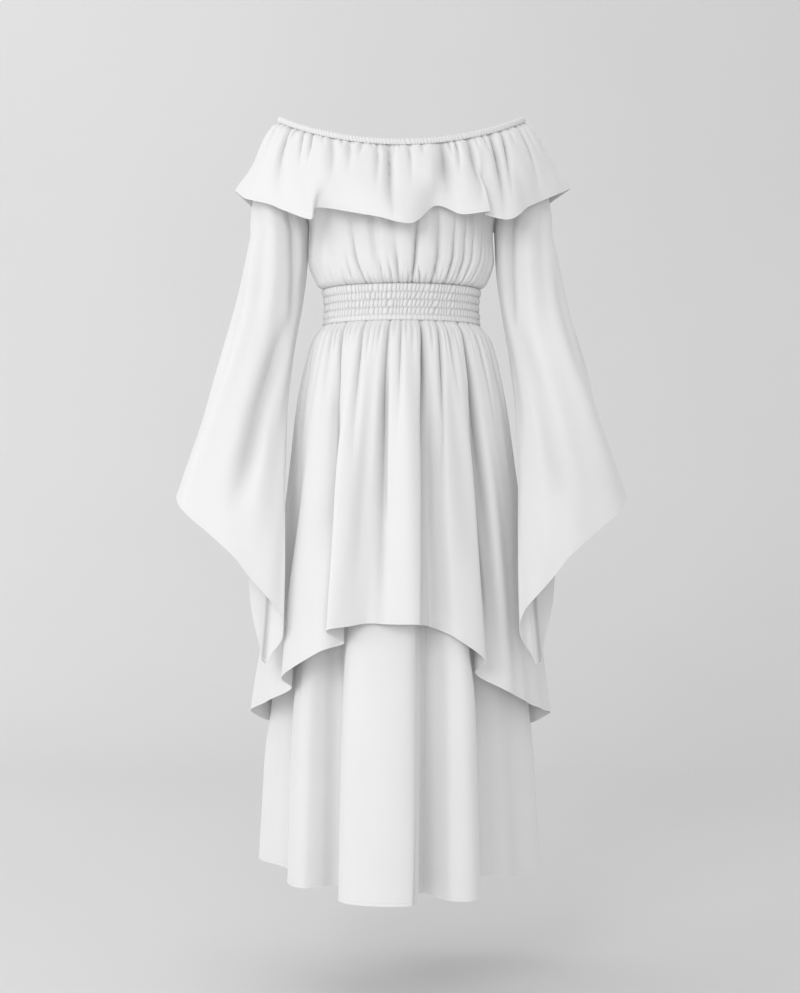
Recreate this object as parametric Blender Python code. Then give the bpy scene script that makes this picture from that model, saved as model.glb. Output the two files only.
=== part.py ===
# Worn off-shoulder maxi dress: ruffled elastic neckline, shirred waistband, wide pointed sleeves,
# a pointed overskirt and a long underskirt. Metres, +Z up, the front faces -Y.
# The origin is the middle of the neckline, where the wearer's upper arms hold the dress up.
import math

import bpy
import numpy as np

# Driving sizes
CLOTH = 0.0016  # wall of every cloth piece
SEAM_GAP = 0.0003  # air between sewn pieces
SEAM_OFFSET = 0.0018  # how far in or out of the neckline the ruffle and the pieces under it are sewn
LAYER_GAP = 0.005  # least air between the overskirt and the underskirt
NECK_HALF_WIDTH = 0.205
NECK_HALF_DEPTH = 0.105
NECK_SIDE_HEIGHT = 0.0028
NECK_FRONT_DIP = 0.059
NECK_BACK_DIP = 0.036
NECK_DIP_POWER = 1.6
CASING_HEIGHT = 0.009
CASING_DEPTH = 0.0052
UNDERARM_Z = -0.190
RAGLAN_SHARE = 0.63  # of the bodice's height, from the neckline down to the underarm
RAGLAN_GAP = 0.0026  # from the bodice's edge out to the middle of the sleeve's wall
CAP_LIFT = 0.010  # how far the sleeve stands out over the upper arm
CAP_BLEND = 0.22  # share of the cap's width over which it turns into the raglan seam
WAIST_TOP_Z = -0.2820
WAIST_BOTTOM_Z = -0.3425
WAIST_HALF_WIDTH = 0.131
WAIST_HALF_DEPTH = 0.096
WAIST_PINCH = 0.030  # share by which the middle of the waistband is narrower
BAND_HALF_WALL = 0.0012
CASING_PUFF_OUT = 0.0007
CASING_PUFF_IN = -0.0003
UNDER_INSET = CLOTH + SEAM_GAP  # the underskirt is sewn in just behind the overskirt
HEM_Z = -1.2555

# Counts
BODICE_GATHERS = 17  # along the lower edge of each half
RUFFLE_GATHERS = 24
OVER_GATHERS = 20
UNDER_GATHERS = 18
CASING_GATHERS = 40  # all round
SMOCK_RIBS = 96  # all round
FRONT_SEAM_DEG = 48.0  # where the sleeve meets the bodice front on the neckline
SLEEVE_COLUMNS = 28
SIDE_SEAM = 0.0004  # half of a side seam's gap, as a share of the way round
BODICE_EDGE = 0.9985  # where a bodice panel ends, as a share of the way to the side seam

# Gathers: how far they stand out, and the share of the piece's length over which they fade
RUFFLE_GATHER_HEIGHT, RUFFLE_GATHER_REACH = 0.0070, 0.80
OVER_GATHER_HEIGHT, OVER_GATHER_REACH = 0.0085, 0.36
UNDER_GATHER_HEIGHT, UNDER_GATHER_REACH = -0.0020, 0.16  # inwards, clear of the overskirt
BODICE_GATHER_HEIGHT, BODICE_GATHER_REACH = 0.0080, 0.55
GATHER_UNEVENNESS = 0.25
BAND_PINCH = 0.55  # share of the bodice's gathers taken up at the waistband

# Where the overskirt presses on the underskirt
REACH_ANGLES, REACH_HEIGHTS = 120, 72
REACH_SAMPLES_ROUND, REACH_SAMPLES_DOWN = 2401, 241
BELOW_HEM_SLOPE = 0.6  # how fast the underskirt may widen below the overskirt's hem
LAYER_GAP_DEPTH = 0.05  # below the waist, where the layers are fully apart
PRESS_SOFTNESS, PRESS_SOFTNESS_DEPTH = 0.008, 0.15
PRESS_SOFTNESS_AT_SEAM = 0.0005


def table(columns, *rows):
    names = columns.split()
    return {name: np.array([row[i] for row in rows], float) for i, name in enumerate(names)}


# Sections of the bodice by the share of its height, from the neckline to the waistband.
# spread_deg is how far round the front or back panel reaches, up to the side seam at 90 degrees.
BODICE = table(
    "share half_width front_depth back_depth spread_deg",
    (0.00, 0.2050, 0.105, 0.105, 48.0),
    (0.30, 0.1780, 0.117, 0.107, 62.0),
    (RAGLAN_SHARE, 0.1525, 0.121, 0.105, 90.0),
    (0.80, 0.1515, 0.117, 0.103, 90.0),
    (0.93, 0.1400, 0.106, 0.100, 90.0),
    (1.00, 0.1318, 0.097, 0.097, 90.0),
)

# Sections of a sleeve by height: its inner and outer creases and how far each panel bows off them.
SLEEVE = table(
    "z inner_x inner_y outer_x outer_y front_bow back_bow crease",
    (-0.190, 0.1560, 0.000, 0.2537, 0.000, 0.060, 0.060, 1.00),
    (-0.250, 0.1590, 0.000, 0.2670, 0.000, 0.060, 0.058, 1.00),
    (-0.300, 0.1650, -0.004, 0.2780, 0.000, 0.058, 0.056, 1.05),
    (-0.400, 0.1810, -0.022, 0.3040, -0.010, 0.056, 0.054, 1.20),
    (-0.500, 0.1890, -0.055, 0.3300, -0.020, 0.054, 0.053, 1.35),
    (-0.600, 0.1890, -0.092, 0.3590, -0.035, 0.050, 0.054, 1.50),
    (-0.700, 0.1870, -0.122, 0.3850, -0.050, 0.046, 0.054, 1.60),
    (-0.800, 0.1880, -0.137, 0.4050, -0.062, 0.042, 0.052, 1.70),
    (-0.920, 0.1930, -0.145, 0.4300, -0.070, 0.038, 0.048, 1.70),
)

# The sleeve's pointed hem: round is 0 at the inner crease, 0.5 at the outer one, 1 back at the inner one.
SLEEVE_HEM = table(
    "round z",
    (0.000, -0.834),
    (0.055, -0.808),
    (0.095, -0.790),
    (0.153, -0.757),
    (0.196, -0.723),
    (0.232, -0.703),
    (0.314, -0.674),
    (0.450, -0.645),
    (0.500, -0.633),
    (0.560, -0.648),
    (0.700, -0.700),
    (0.780, -0.745),
    (0.803, -0.810),
    (0.835, -0.859),
    (0.878, -0.897),
    (0.905, -0.876),
    (0.935, -0.862),
    (0.970, -0.848),
    (1.000, -0.834),
)

# Long soft folds down a sleeve: where they lie round it, their width and how far they dip at the hem.
SLEEVE_FOLDS = table(
    "round width depth",
    (0.16, 0.050, 0.006),
    (0.27, 0.060, 0.009),
    (0.39, 0.050, -0.005),
    (0.62, 0.060, 0.008),
    (0.74, 0.050, -0.006),
    (0.88, 0.030, 0.013),
)

# Folds are listed from the wearer's right round by the front. Each row is one fold: the angle at which
# it leaves the seam, then its valley and the two shoulders of its ridge at the hem, as an angle, a
# share of the hem's ellipse and a height. Angles are 0 at the front centre and positive towards +X.
FOLD_COLUMNS = (
    "seam_deg valley_deg valley_share valley_z left_deg left_share left_z right_deg right_share right_z"
)
RUFFLE_HEM = (0.262, 0.150)
RUFFLE = table(
    FOLD_COLUMNS,
    (-104, -108, 0.960, -0.150, -92, 1.065, -0.115, -70, 1.040, -0.138),
    (-60, -56, 1.000, -0.152, -42, 1.060, -0.170, -28, 1.165, -0.189),
    (-36, -31, 0.985, -0.166, -9, 1.080, -0.185, 3, 1.150, -0.198),
    (14, 14, 0.870, -0.163, 20, 1.060, -0.180, 29, 1.108, -0.175),
    (34, 31, 1.000, -0.178, 38, 1.090, -0.184, 50, 1.020, -0.160),
    (64, 66, 0.990, -0.140, 80, 1.040, -0.122, 92, 1.070, -0.113),
    (106, 112, 0.950, -0.145, 124, 1.050, -0.162, 138, 1.090, -0.170),
    (144, 148, 0.930, -0.160, 158, 1.050, -0.175, 170, 1.100, -0.180),
    (180, 181, 0.920, -0.160, 192, 1.070, -0.176, 203, 1.090, -0.174),
    (216, 213, 0.940, -0.155, 224, 1.060, -0.166, 238, 1.050, -0.156),
)
OVER_HEM = (0.235, 0.210)
OVER = table(
    FOLD_COLUMNS,
    (-102, -106, 0.990, -1.012, -91, 1.076, -0.988, -76, 0.970, -0.965),
    (-68, -64, 0.850, -0.941, -53, 1.020, -0.915, -33, 1.010, -0.872),
    (-43, -25, 0.920, -0.858, -26, 1.140, -0.836, -19, 1.060, -0.829),
    (-11, -13, 0.985, -0.825, -4, 1.065, -0.825, 9, 1.060, -0.826),
    (16, 15, 0.800, -0.833, 21, 1.000, -0.848, 34, 1.000, -0.886),
    (41, 40, 0.780, -0.912, 51, 0.910, -0.938, 61, 0.930, -0.954),
    (72, 70, 0.960, -0.968, 81, 1.015, -0.981, 91, 1.055, -0.993),
    (103, 106, 0.950, -1.016, 118, 1.030, -0.985, 130, 1.050, -0.950),
    (136, 140, 0.840, -0.920, 148, 1.020, -0.895, 160, 1.040, -0.865),
    (168, 169, 0.880, -0.850, 176, 1.030, -0.840, 187, 1.050, -0.840),
    (198, 196, 0.870, -0.850, 205, 1.040, -0.870, 218, 1.020, -0.905),
    (228, 227, 0.860, -0.930, 237, 1.030, -0.955, 247, 1.040, -0.985),
)
UNDER_HEM = (0.235, 0.210)
UNDER = table(
    FOLD_COLUMNS,
    (-122, -125, 0.800, -1.2500, -112, 1.060, -1.2440, -98, 1.035, -1.2430),
    (-84, -83, 0.800, -1.2500, -62, 0.885, HEM_Z, -49, 0.885, HEM_Z),
    (-42, -40, 0.660, HEM_Z, -20, 1.090, HEM_Z, 0, 1.110, HEM_Z),
    (13, 13, 0.640, HEM_Z, 20, 1.030, HEM_Z, 30, 1.025, HEM_Z),
    (50, 56, 0.640, -1.2500, 77, 0.820, HEM_Z, 95, 1.000, HEM_Z),
    (106, 112, 0.820, HEM_Z, 124, 1.020, HEM_Z, 136, 1.040, HEM_Z),
    (146, 146, 0.740, HEM_Z, 155, 1.020, HEM_Z, 167, 1.060, HEM_Z),
    (178, 177, 0.750, HEM_Z, 187, 1.040, HEM_Z, 199, 1.050, HEM_Z),
    (210, 209, 0.730, HEM_Z, 218, 1.020, HEM_Z, 228, 0.980, HEM_Z),
)

# How a flounce spreads from its seam (0) to its hem (1), by the share of its length.
OVER_SPREAD = table(
    "share spread",
    (0.000, 0.00),
    (0.045, 0.14),
    (0.110, 0.27),
    (0.240, 0.45),
    (0.450, 0.63),
    (0.710, 0.81),
    (1.000, 1.00),
)
UNDER_SPREAD = table(
    "share spread",
    (0.000, 0.00),
    (0.030, 0.06),
    (0.080, 0.17),
    (0.170, 0.33),
    (0.320, 0.53),
    (0.500, 0.70),
    (0.740, 0.87),
    (1.000, 1.00),
)
RUFFLE_SPREAD = table(
    "share spread",
    (0.00, 0.00),
    (0.12, 0.20),
    (0.35, 0.50),
    (0.65, 0.78),
    (1.00, 1.00),
)

# The casing's section: how far out and up each edge lies, as shares of half its depth and height.
CASING_SECTION = table(
    "out up",
    (1, -0.72),
    (1, 0.62),
    (0, 1),
    (-1, 0.62),
    (-1, -0.72),
    (0, -1),
)

# The waistband's rows of puffs from the top down. The last is the narrower one by the skirt's seam.
SMOCK_BANDS = table(
    "height puff",
    (0.0105, 0.0016),
    (0.0125, 0.0020),
    (0.0125, 0.0020),
    (0.0125, 0.0020),
    (0.0065, 0.0010),
)

# Rows of each piece, as shares of its length. Rows before the fine count have twice the columns.
OVER_ROWS = (0.0, 0.022, 0.055, 0.11, 0.19, 0.30, 0.46, 0.64, 0.82, 1.0)
OVER_FINE_ROWS = 3
UNDER_ROWS = (0.0, 0.03, 0.08, 0.18, 0.34, 0.56, 0.78, 1.0)
RUFFLE_ROWS = (0.0, 0.12, 0.30, 0.52, 0.76, 1.0)
BODICE_ROWS = (0.0, 0.18, 0.38, 0.63, 0.80, 0.90, 0.96, 1.0)
CAP_ROWS = (0.0, 0.33, 0.67)
TUBE_ROWS = (0.0, 0.12, 0.26, 0.42, 0.58, 0.74, 0.88, 1.0)

COLOURS = {
    "crepe": ((0.86, 0.855, 0.86, 1.0), 0.80),
    "shirring": ((0.83, 0.82, 0.825, 1.0), 0.85),
}


def smooth(xs, ys, x):
    # Cubic through the table's rows that never overshoots them (Fritsch and Carlson).
    xs, ys, x = (np.asarray(v, float) for v in (xs, ys, x))
    steps = np.diff(xs)
    slopes = np.diff(ys) / steps
    tangents = np.zeros_like(ys)
    same_way = slopes[:-1] * slopes[1:] > 0
    inner = np.zeros(len(slopes) - 1)
    inner[same_way] = (
        2 * slopes[:-1][same_way] * slopes[1:][same_way]
        / (slopes[:-1][same_way] + slopes[1:][same_way])
    )
    tangents[1:-1] = inner
    tangents[0], tangents[-1] = slopes[0], slopes[-1]
    i = np.clip(np.searchsorted(xs, x, side="right") - 1, 0, len(steps) - 1)
    t = np.clip((x - xs[i]) / steps[i], 0, 1)
    return (
        (1 + 2 * t) * (1 - t) ** 2 * ys[i]
        + t * (1 - t) ** 2 * steps[i] * tangents[i]
        + t * t * (3 - 2 * t) * ys[i + 1]
        + t * t * (t - 1) * steps[i] * tangents[i + 1]
    )


def closed_spline(points, at):
    # Catmull-Rom round a closed list of points, one unit of `at` for each point.
    count = len(points)
    i = np.floor(at).astype(int)
    t = (at - i)[:, None]
    before, start, end, after = (points[(i + k) % count] for k in (-1, 0, 1, 2))
    return 0.5 * (
        2 * start
        + (end - before) * t
        + (2 * before - 5 * start + 4 * end - after) * t**2
        + (3 * start - before - 3 * end + after) * t**3
    )


def ease(t):
    t = np.clip(t, 0, 1)
    return t * t * (3 - 2 * t)


def neck_z(angle):
    # Height of the neckline: high over the arms, dipping at the front and less at the back.
    cosine = np.cos(angle)
    dip = np.where(cosine > 0, NECK_FRONT_DIP, NECK_BACK_DIP)
    return NECK_SIDE_HEIGHT - dip * np.abs(cosine) ** NECK_DIP_POWER


def on_neck(angle, out=0.0):
    return np.stack(
        [
            (NECK_HALF_WIDTH + out) * np.sin(angle),
            -(NECK_HALF_DEPTH + out) * np.cos(angle),
            neck_z(angle),
        ],
        axis=-1,
    )


class Flounce:
    # A gathered tube that falls from a seam to a folded hem. `at` runs once round it, from 0 to 1.
    def __init__(self, folds, hem, spread, seam, gathers, gather_depth, gather_fade):
        self.folds = folds
        self.spread = spread
        self.seam = seam  # angle -> point on the seam
        self.gathers = gathers
        self.gather_depth = gather_depth
        self.gather_fade = gather_fade
        outline = []
        for k in range(len(folds["seam_deg"])):
            for part in ("valley", "left", "right"):
                angle = math.radians(folds[part + "_deg"][k])
                share = folds[part + "_share"][k]
                outline.append(
                    (
                        share * hem[0] * math.sin(angle),
                        -share * hem[1] * math.cos(angle),
                        folds[part + "_z"][k],
                    )
                )
        self.outline = np.array(outline)
        self.count = len(folds["seam_deg"])
        # Where the side seams lie, as a share of the way round.
        starts = np.append(folds["seam_deg"], folds["seam_deg"][0] + 360.0)
        knots = np.arange(self.count + 1) / self.count
        self.knots, self.starts = knots, starts
        self.right_side = float(np.interp(-90.0, starts, knots))
        self.left_side = float(np.interp(90.0, starts, knots))

    def seam_angle(self, at):
        return np.radians(np.interp(at % 1.0, self.knots, self.starts) + 360.0 * np.floor(at))

    def point(self, at, share):
        at, share = np.broadcast_arrays(np.asarray(at, float), np.asarray(share, float))
        angle = self.seam_angle(at)
        top = self.seam(angle)
        hem = closed_spline(self.outline, (at.ravel() % 1.0) * len(self.outline))
        hem = hem.reshape(*at.shape, 3)
        spread = smooth(self.spread["share"], self.spread["spread"], share)[..., None]
        place = top + (hem - top) * spread
        place[..., 2] = top[..., 2] + (hem[..., 2] - top[..., 2]) * share
        # Gathers: fine ridges that open out below the seam and melt into the big folds.
        half = np.where(
            (at % 1.0 >= self.right_side) & (at % 1.0 < self.left_side),
            (at % 1.0 - self.right_side) / (self.left_side - self.right_side),
            ((at - self.left_side) % 1.0) / (1 - self.left_side + self.right_side),
        )
        ripple = 0.5 - 0.5 * np.cos(2 * np.pi * self.gathers * half)
        wander = np.sin(2 * np.pi * (3.0 * half + 0.15)) * np.cos(11.0 * half)
        uneven = 1 - GATHER_UNEVENNESS + GATHER_UNEVENNESS * wander
        rise = 0.5 + 0.5 * ease(share / (0.2 * self.gather_fade))
        height = self.gather_depth * ripple * uneven * rise * (1 - ease(share / self.gather_fade))
        place[..., 0] += height * np.sin(angle)
        place[..., 1] -= height * np.cos(angle)
        return place


def ruffle_seam(angle):
    place = on_neck(angle, SEAM_OFFSET)
    place[..., 2] -= 0.5 * CASING_HEIGHT + CLOTH
    return place


def waist_seam(inset):
    def seam(angle):
        z = np.full(np.shape(angle), WAIST_BOTTOM_Z - SEAM_GAP - 0.5 * CLOTH)
        return np.stack(
            [
                (WAIST_HALF_WIDTH - inset) * np.sin(angle),
                -(WAIST_HALF_DEPTH - inset) * np.cos(angle),
                z,
            ],
            axis=-1,
        )

    return seam


RUFFLE_SHAPE = Flounce(
    RUFFLE, RUFFLE_HEM, RUFFLE_SPREAD, ruffle_seam, RUFFLE_GATHERS, RUFFLE_GATHER_HEIGHT, RUFFLE_GATHER_REACH
)
OVER_SHAPE = Flounce(
    OVER, OVER_HEM, OVER_SPREAD, waist_seam(0.0), OVER_GATHERS, OVER_GATHER_HEIGHT, OVER_GATHER_REACH
)
UNDER_SHAPE = Flounce(
    UNDER, UNDER_HEM, UNDER_SPREAD, waist_seam(UNDER_INSET), UNDER_GATHERS, UNDER_GATHER_HEIGHT, UNDER_GATHER_REACH
)


def overskirt_reach():
    # The overskirt's least radius in each direction at each height, carried on below its hem.
    angles, heights = REACH_ANGLES, REACH_HEIGHTS
    at, share = np.meshgrid(np.linspace(0, 1, REACH_SAMPLES_ROUND), np.linspace(0, 1, REACH_SAMPLES_DOWN))
    place = OVER_SHAPE.point(at, share)
    radius = np.hypot(place[..., 0], place[..., 1])
    turn = np.arctan2(place[..., 0], -place[..., 1]) / (2 * np.pi) % 1.0
    column = np.round(turn * angles).astype(int) % angles
    row = np.floor((WAIST_BOTTOM_Z - place[..., 2]) / (WAIST_BOTTOM_Z - HEM_Z) * (heights - 1))
    row = np.clip(row.astype(int), 0, heights - 1)
    reach = np.full((heights, angles), np.inf)
    np.minimum.at(reach, (row, column), radius)
    fall = (WAIST_BOTTOM_Z - HEM_Z) / (heights - 1)
    for k in range(1, heights):
        empty = np.isinf(reach[k])
        reach[k, empty] = reach[k - 1, empty] + BELOW_HEM_SLOPE * fall
    tight = np.minimum(np.minimum(np.roll(reach, 1, 1), reach), np.roll(reach, -1, 1))
    return 0.25 * np.roll(tight, 1, 1) + 0.5 * tight + 0.25 * np.roll(tight, -1, 1)


OVER_REACH = overskirt_reach()


def underskirt_point(at, share):
    # The underskirt's own folds, drawn in where the overskirt would press on them.
    place = UNDER_SHAPE.point(at, share)
    radius = np.hypot(place[..., 0], place[..., 1])
    heights, angles = OVER_REACH.shape
    column = np.arctan2(place[..., 0], -place[..., 1]) / (2 * np.pi) % 1.0 * angles
    row = (WAIST_BOTTOM_Z - place[..., 2]) / (WAIST_BOTTOM_Z - HEM_Z) * (heights - 1)
    row = np.clip(row, 0, heights - 1.001)
    j, i = np.floor(column).astype(int), np.floor(row).astype(int)
    u, v = column - j, row - i
    near = OVER_REACH[i, j % angles] * (1 - u) + OVER_REACH[i, (j + 1) % angles] * u
    below = OVER_REACH[i + 1, j % angles] * (1 - u) + OVER_REACH[i + 1, (j + 1) % angles] * u
    depth = WAIST_BOTTOM_Z - place[..., 2]
    most = near * (1 - v) + below * v - CLOTH - LAYER_GAP * ease(depth / LAYER_GAP_DEPTH)
    soft = PRESS_SOFTNESS_AT_SEAM + PRESS_SOFTNESS * ease(depth / PRESS_SOFTNESS_DEPTH)
    drawn_in = most - soft * np.log1p(np.exp(np.clip((most - radius) / soft, -30, 30)))
    place[..., :2] *= (np.minimum(drawn_in, radius) / radius)[..., None]
    return place


def bodice_point(across, share, side):
    # across is -1 to 1 from one edge of the panel to the other; side is -1 for the front, 1 for the back.
    across, share = np.broadcast_arrays(np.asarray(across, float), np.asarray(share, float))
    shares = BODICE["share"]
    half_width = smooth(shares, BODICE["half_width"], share)
    column = "front_depth" if side < 0 else "back_depth"
    depth = smooth(shares, BODICE[column], share)
    angle = across * np.radians(smooth(shares, BODICE["spread_deg"], share))
    seam_angle = across * math.radians(FRONT_SEAM_DEG)
    top_z = neck_z(seam_angle if side < 0 else math.pi - seam_angle)
    top_z = top_z - 0.5 * CASING_HEIGHT - SEAM_GAP
    bottom_z = WAIST_TOP_Z + SEAM_GAP
    # Gathers stand out above the waistband and die away upwards, each to its own length.
    wander = np.sin(7.0 * across + 1.0) * np.cos(3.0 * across)
    reach = BODICE_GATHER_REACH * (0.55 + 0.30 * wander)
    fade = ease((share - (1 - reach)) / reach)
    ripple = 0.5 - 0.5 * np.cos(2 * np.pi * BODICE_GATHERS * (across + 1) / 2)
    pinch = 1 - BAND_PINCH * ease((share - 0.93) / 0.07)
    out = BODICE_GATHER_HEIGHT * ripple * fade * pinch - SEAM_OFFSET * (1 - ease(share / 0.3))
    return np.stack(
        [
            (half_width + out) * np.sin(angle),
            side * (depth + out) * np.cos(angle),
            top_z + (bottom_z - top_z) * share,
        ],
        axis=-1,
    )


def sleeve_tube(round_it, z):
    angle = 2 * np.pi * round_it
    column = {
        name: smooth(-SLEEVE["z"], SLEEVE[name], -z) for name in SLEEVE if name != "z"
    }
    chord_x = column["outer_x"] - column["inner_x"]
    chord_y = column["outer_y"] - column["inner_y"]
    length = np.hypot(chord_x, chord_y)
    across = 0.5 - 0.5 * np.cos(angle)
    bow = np.where(np.sin(angle) > 0, column["front_bow"], -column["back_bow"])
    bow = bow * np.abs(np.sin(angle)) ** column["crease"]
    fall = np.clip((UNDERARM_Z - z) / 0.5, 0, 1.3)
    for where, width, depth in zip(*(SLEEVE_FOLDS[n] for n in ("round", "width", "depth"))):
        dip = depth * fall * np.exp(-(((round_it - where) / width) ** 2)) * np.abs(np.sin(angle))
        bow = bow - np.where(np.sin(angle) > 0, dip, -dip)
    return np.stack(
        [
            column["inner_x"] + chord_x * across + bow * chord_y / length,
            column["inner_y"] + chord_y * across - bow * chord_x / length,
            z,
        ],
        axis=-1,
    )


def sleeve_edge(share, side):
    # The bodice's raglan edge, moved out by the seam, which the sleeve's edge follows.
    edge = bodice_point(1.0, share * RAGLAN_SHARE, side)
    edge[..., 0] += RAGLAN_GAP
    return edge


def sleeve_cap(round_it, share):
    # From the neckline over the arm down to the underarm, between the front and back raglan seams.
    def straight(round_it):
        first = math.radians(FRONT_SEAM_DEG)
        top = on_neck(first + (math.pi - 2 * first) * round_it, -SEAM_OFFSET)
        top[..., 2] -= 0.5 * CASING_HEIGHT + SEAM_GAP + 0.5 * CLOTH
        bottom = sleeve_tube(round_it, np.full(np.shape(round_it), UNDERARM_Z))
        return top + (bottom - top) * share[..., None]

    place = straight(round_it)
    place[..., 0] += CAP_LIFT * np.sin(np.pi * share**1.6) * np.sin(np.pi * round_it)
    for end, side in ((0.0, -1), (1.0, 1)):
        here = straight(np.full(np.shape(round_it), end))
        near = (1 - ease(np.abs(round_it - end) / CAP_BLEND))[..., None]
        place += (sleeve_edge(share, side) - here) * near * (1 - share[..., None] ** 6)
    return place


def sleeve_point(round_it, along):
    # along is 0 to 1 over the cap and 1 to 2 down the tube to the pointed hem.
    round_it, along = np.broadcast_arrays(np.asarray(round_it, float), np.asarray(along, float))
    hem = smooth(SLEEVE_HEM["round"], SLEEVE_HEM["z"], round_it)
    tube = sleeve_tube(round_it, UNDERARM_Z + (hem - UNDERARM_Z) * np.clip(along - 1, 0, 1))
    cap = sleeve_cap(round_it, np.clip(along, 0, 1))
    return np.where((along < 1)[..., None], cap, tube)


def both_sides(surface, columns, rows, thickness=CLOTH, flip=1.0):
    # The outer and inner points of a wall round a surface, at these columns and rows.
    small = 1e-4  # step for the normals
    across, down = np.meshgrid(columns, rows)
    middle = surface(across, down)
    du = surface(across + small, down) - surface(across - small, down)
    low, high = np.maximum(down - small, min(rows)), np.minimum(down + small, max(rows))
    dv = surface(across, high) - surface(across, low)
    normal = np.cross(dv, du)
    normal *= flip * 0.5 * thickness / np.linalg.norm(normal, axis=-1, keepdims=True)
    return middle + normal, middle - normal


class Shell:
    # Collects points and faces and makes one closed object.
    def __init__(self):
        self.points, self.faces = [], []

    def row(self, points):
        first = len(self.points)
        self.points.extend(map(tuple, points))
        return list(range(first, first + len(points)))

    def strip(self, upper, lower, flip=False):
        # Two triangles for each column, or three where two columns become one. Both sides of a wall
        # are cut along the same diagonals, so that they can't cross in a fold.
        halving = len(upper) > len(lower)
        for i in range(len(lower) - 1):
            d, e = lower[i : i + 2]
            if halving:
                a, b, c = upper[2 * i : 2 * i + 3]
                made = [(a, d, b), (b, d, e), (b, e, c)]
            else:
                a, b = upper[i : i + 2]
                made = [(a, d, e), (a, e, b)]
            self.faces += [face[::-1] for face in made] if flip else made

    def make(self, name, material):
        mesh = bpy.data.meshes.new(name)
        mesh.from_pydata(self.points, [], self.faces)
        mesh.validate()
        mesh.shade_smooth()
        mesh.set_sharp_from_angle(angle=math.radians(60))
        mesh.materials.append(material)
        made = bpy.data.objects.new(name, mesh)
        bpy.context.scene.collection.objects.link(made)
        return made


def close(shell, outer, inner, open_rows):
    # Joins the outer and inner rows of a wall round its borders. Rows after open_rows are rings.
    for upper, lower in zip(outer, outer[1:]):
        shell.strip(upper, lower)
    for upper, lower in zip(inner, inner[1:]):
        shell.strip(upper, lower, flip=True)
    shell.strip(inner[0], outer[0])
    shell.strip(outer[-1], inner[-1])
    sides = slice(0, open_rows + 1)
    shell.strip([r[0] for r in inner[sides]], [r[0] for r in outer[sides]], flip=True)
    shell.strip([r[-1] for r in inner[sides]], [r[-1] for r in outer[sides]])


def wall(name, surface, columns, rows, material, fine_rows=0, open_rows=99, flip=1.0):
    # Rows before fine_rows use every column, the rest every other one.
    outer_points, inner_points = both_sides(surface, columns, rows, flip=flip)
    if flip < 0:
        outer_points, inner_points = outer_points[:, ::-1], inner_points[:, ::-1]
    shell = Shell()
    outer, inner = [], []
    for i, (out, within) in enumerate(zip(outer_points, inner_points)):
        step = 2 if fine_rows and i >= fine_rows else 1
        ring = i >= open_rows
        stop = -1 if ring else None
        outer.append(shell.row(out[:stop:step]))
        inner.append(shell.row(within[:stop:step]))
        if ring:
            outer[-1].append(outer[-1][0])
            inner[-1].append(inner[-1][0])
    close(shell, outer, inner, open_rows)
    return shell.make(name, material)


def halves(name, shape, surface, columns, rows, material, fine_rows=0):
    # Front and back of a flounce, parted by the seam gap at both sides.
    first, last = shape.right_side, shape.left_side
    for part, start, end in (("front", first, last), ("back", last, first + 1)):
        around = np.linspace(start + SIDE_SEAM, end - SIDE_SEAM, columns + 1)
        wall(f"{name}_{part}", surface, around, rows, material, fine_rows)


def bodice(material):
    columns = np.linspace(-BODICE_EDGE, BODICE_EDGE, 2 * BODICE_GATHERS + 1)
    for part, side in (("front", -1), ("back", 1)):
        wall(
            f"bodice_{part}",
            lambda a, s, side=side: bodice_point(a, s, side),
            columns,
            BODICE_ROWS,
            material,
            flip=-side,
        )


def sleeves(material):
    columns = np.linspace(0.0, 1.0, SLEEVE_COLUMNS + 1)
    rows = CAP_ROWS + tuple(1 + r for r in TUBE_ROWS)
    for part, side in (("left", 1), ("right", -1)):

        def surface(a, s, side=side):
            return sleeve_point(a, s) * np.array([side, 1, 1])

        wall(f"sleeve_{part}", surface, columns, rows, material, open_rows=len(CAP_ROWS), flip=side)


def casing(material):
    # Ruched channel with the elastic inside it, round the whole neckline.
    shell = Shell()
    columns = 2 * CASING_GATHERS
    angle = np.arange(columns) * 2 * np.pi / columns
    puff = np.where(np.arange(columns) % 2, CASING_PUFF_OUT, CASING_PUFF_IN)
    rows = []
    for out, up in zip(CASING_SECTION["out"], CASING_SECTION["up"]):
        points = on_neck(angle)
        reach = 0.5 * CASING_DEPTH * out + out * puff
        points[:, 0] += reach * np.sin(angle)
        points[:, 1] -= reach * np.cos(angle)
        points[:, 2] += 0.5 * CASING_HEIGHT * up + (puff if up == 1 else 0)
        ring = shell.row(points)
        rows.append(ring + ring[:1])
    for upper, lower in zip(rows, rows[1:] + rows[:1]):
        shell.strip(lower, upper)
    return shell.make("neck_casing", material)


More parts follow.
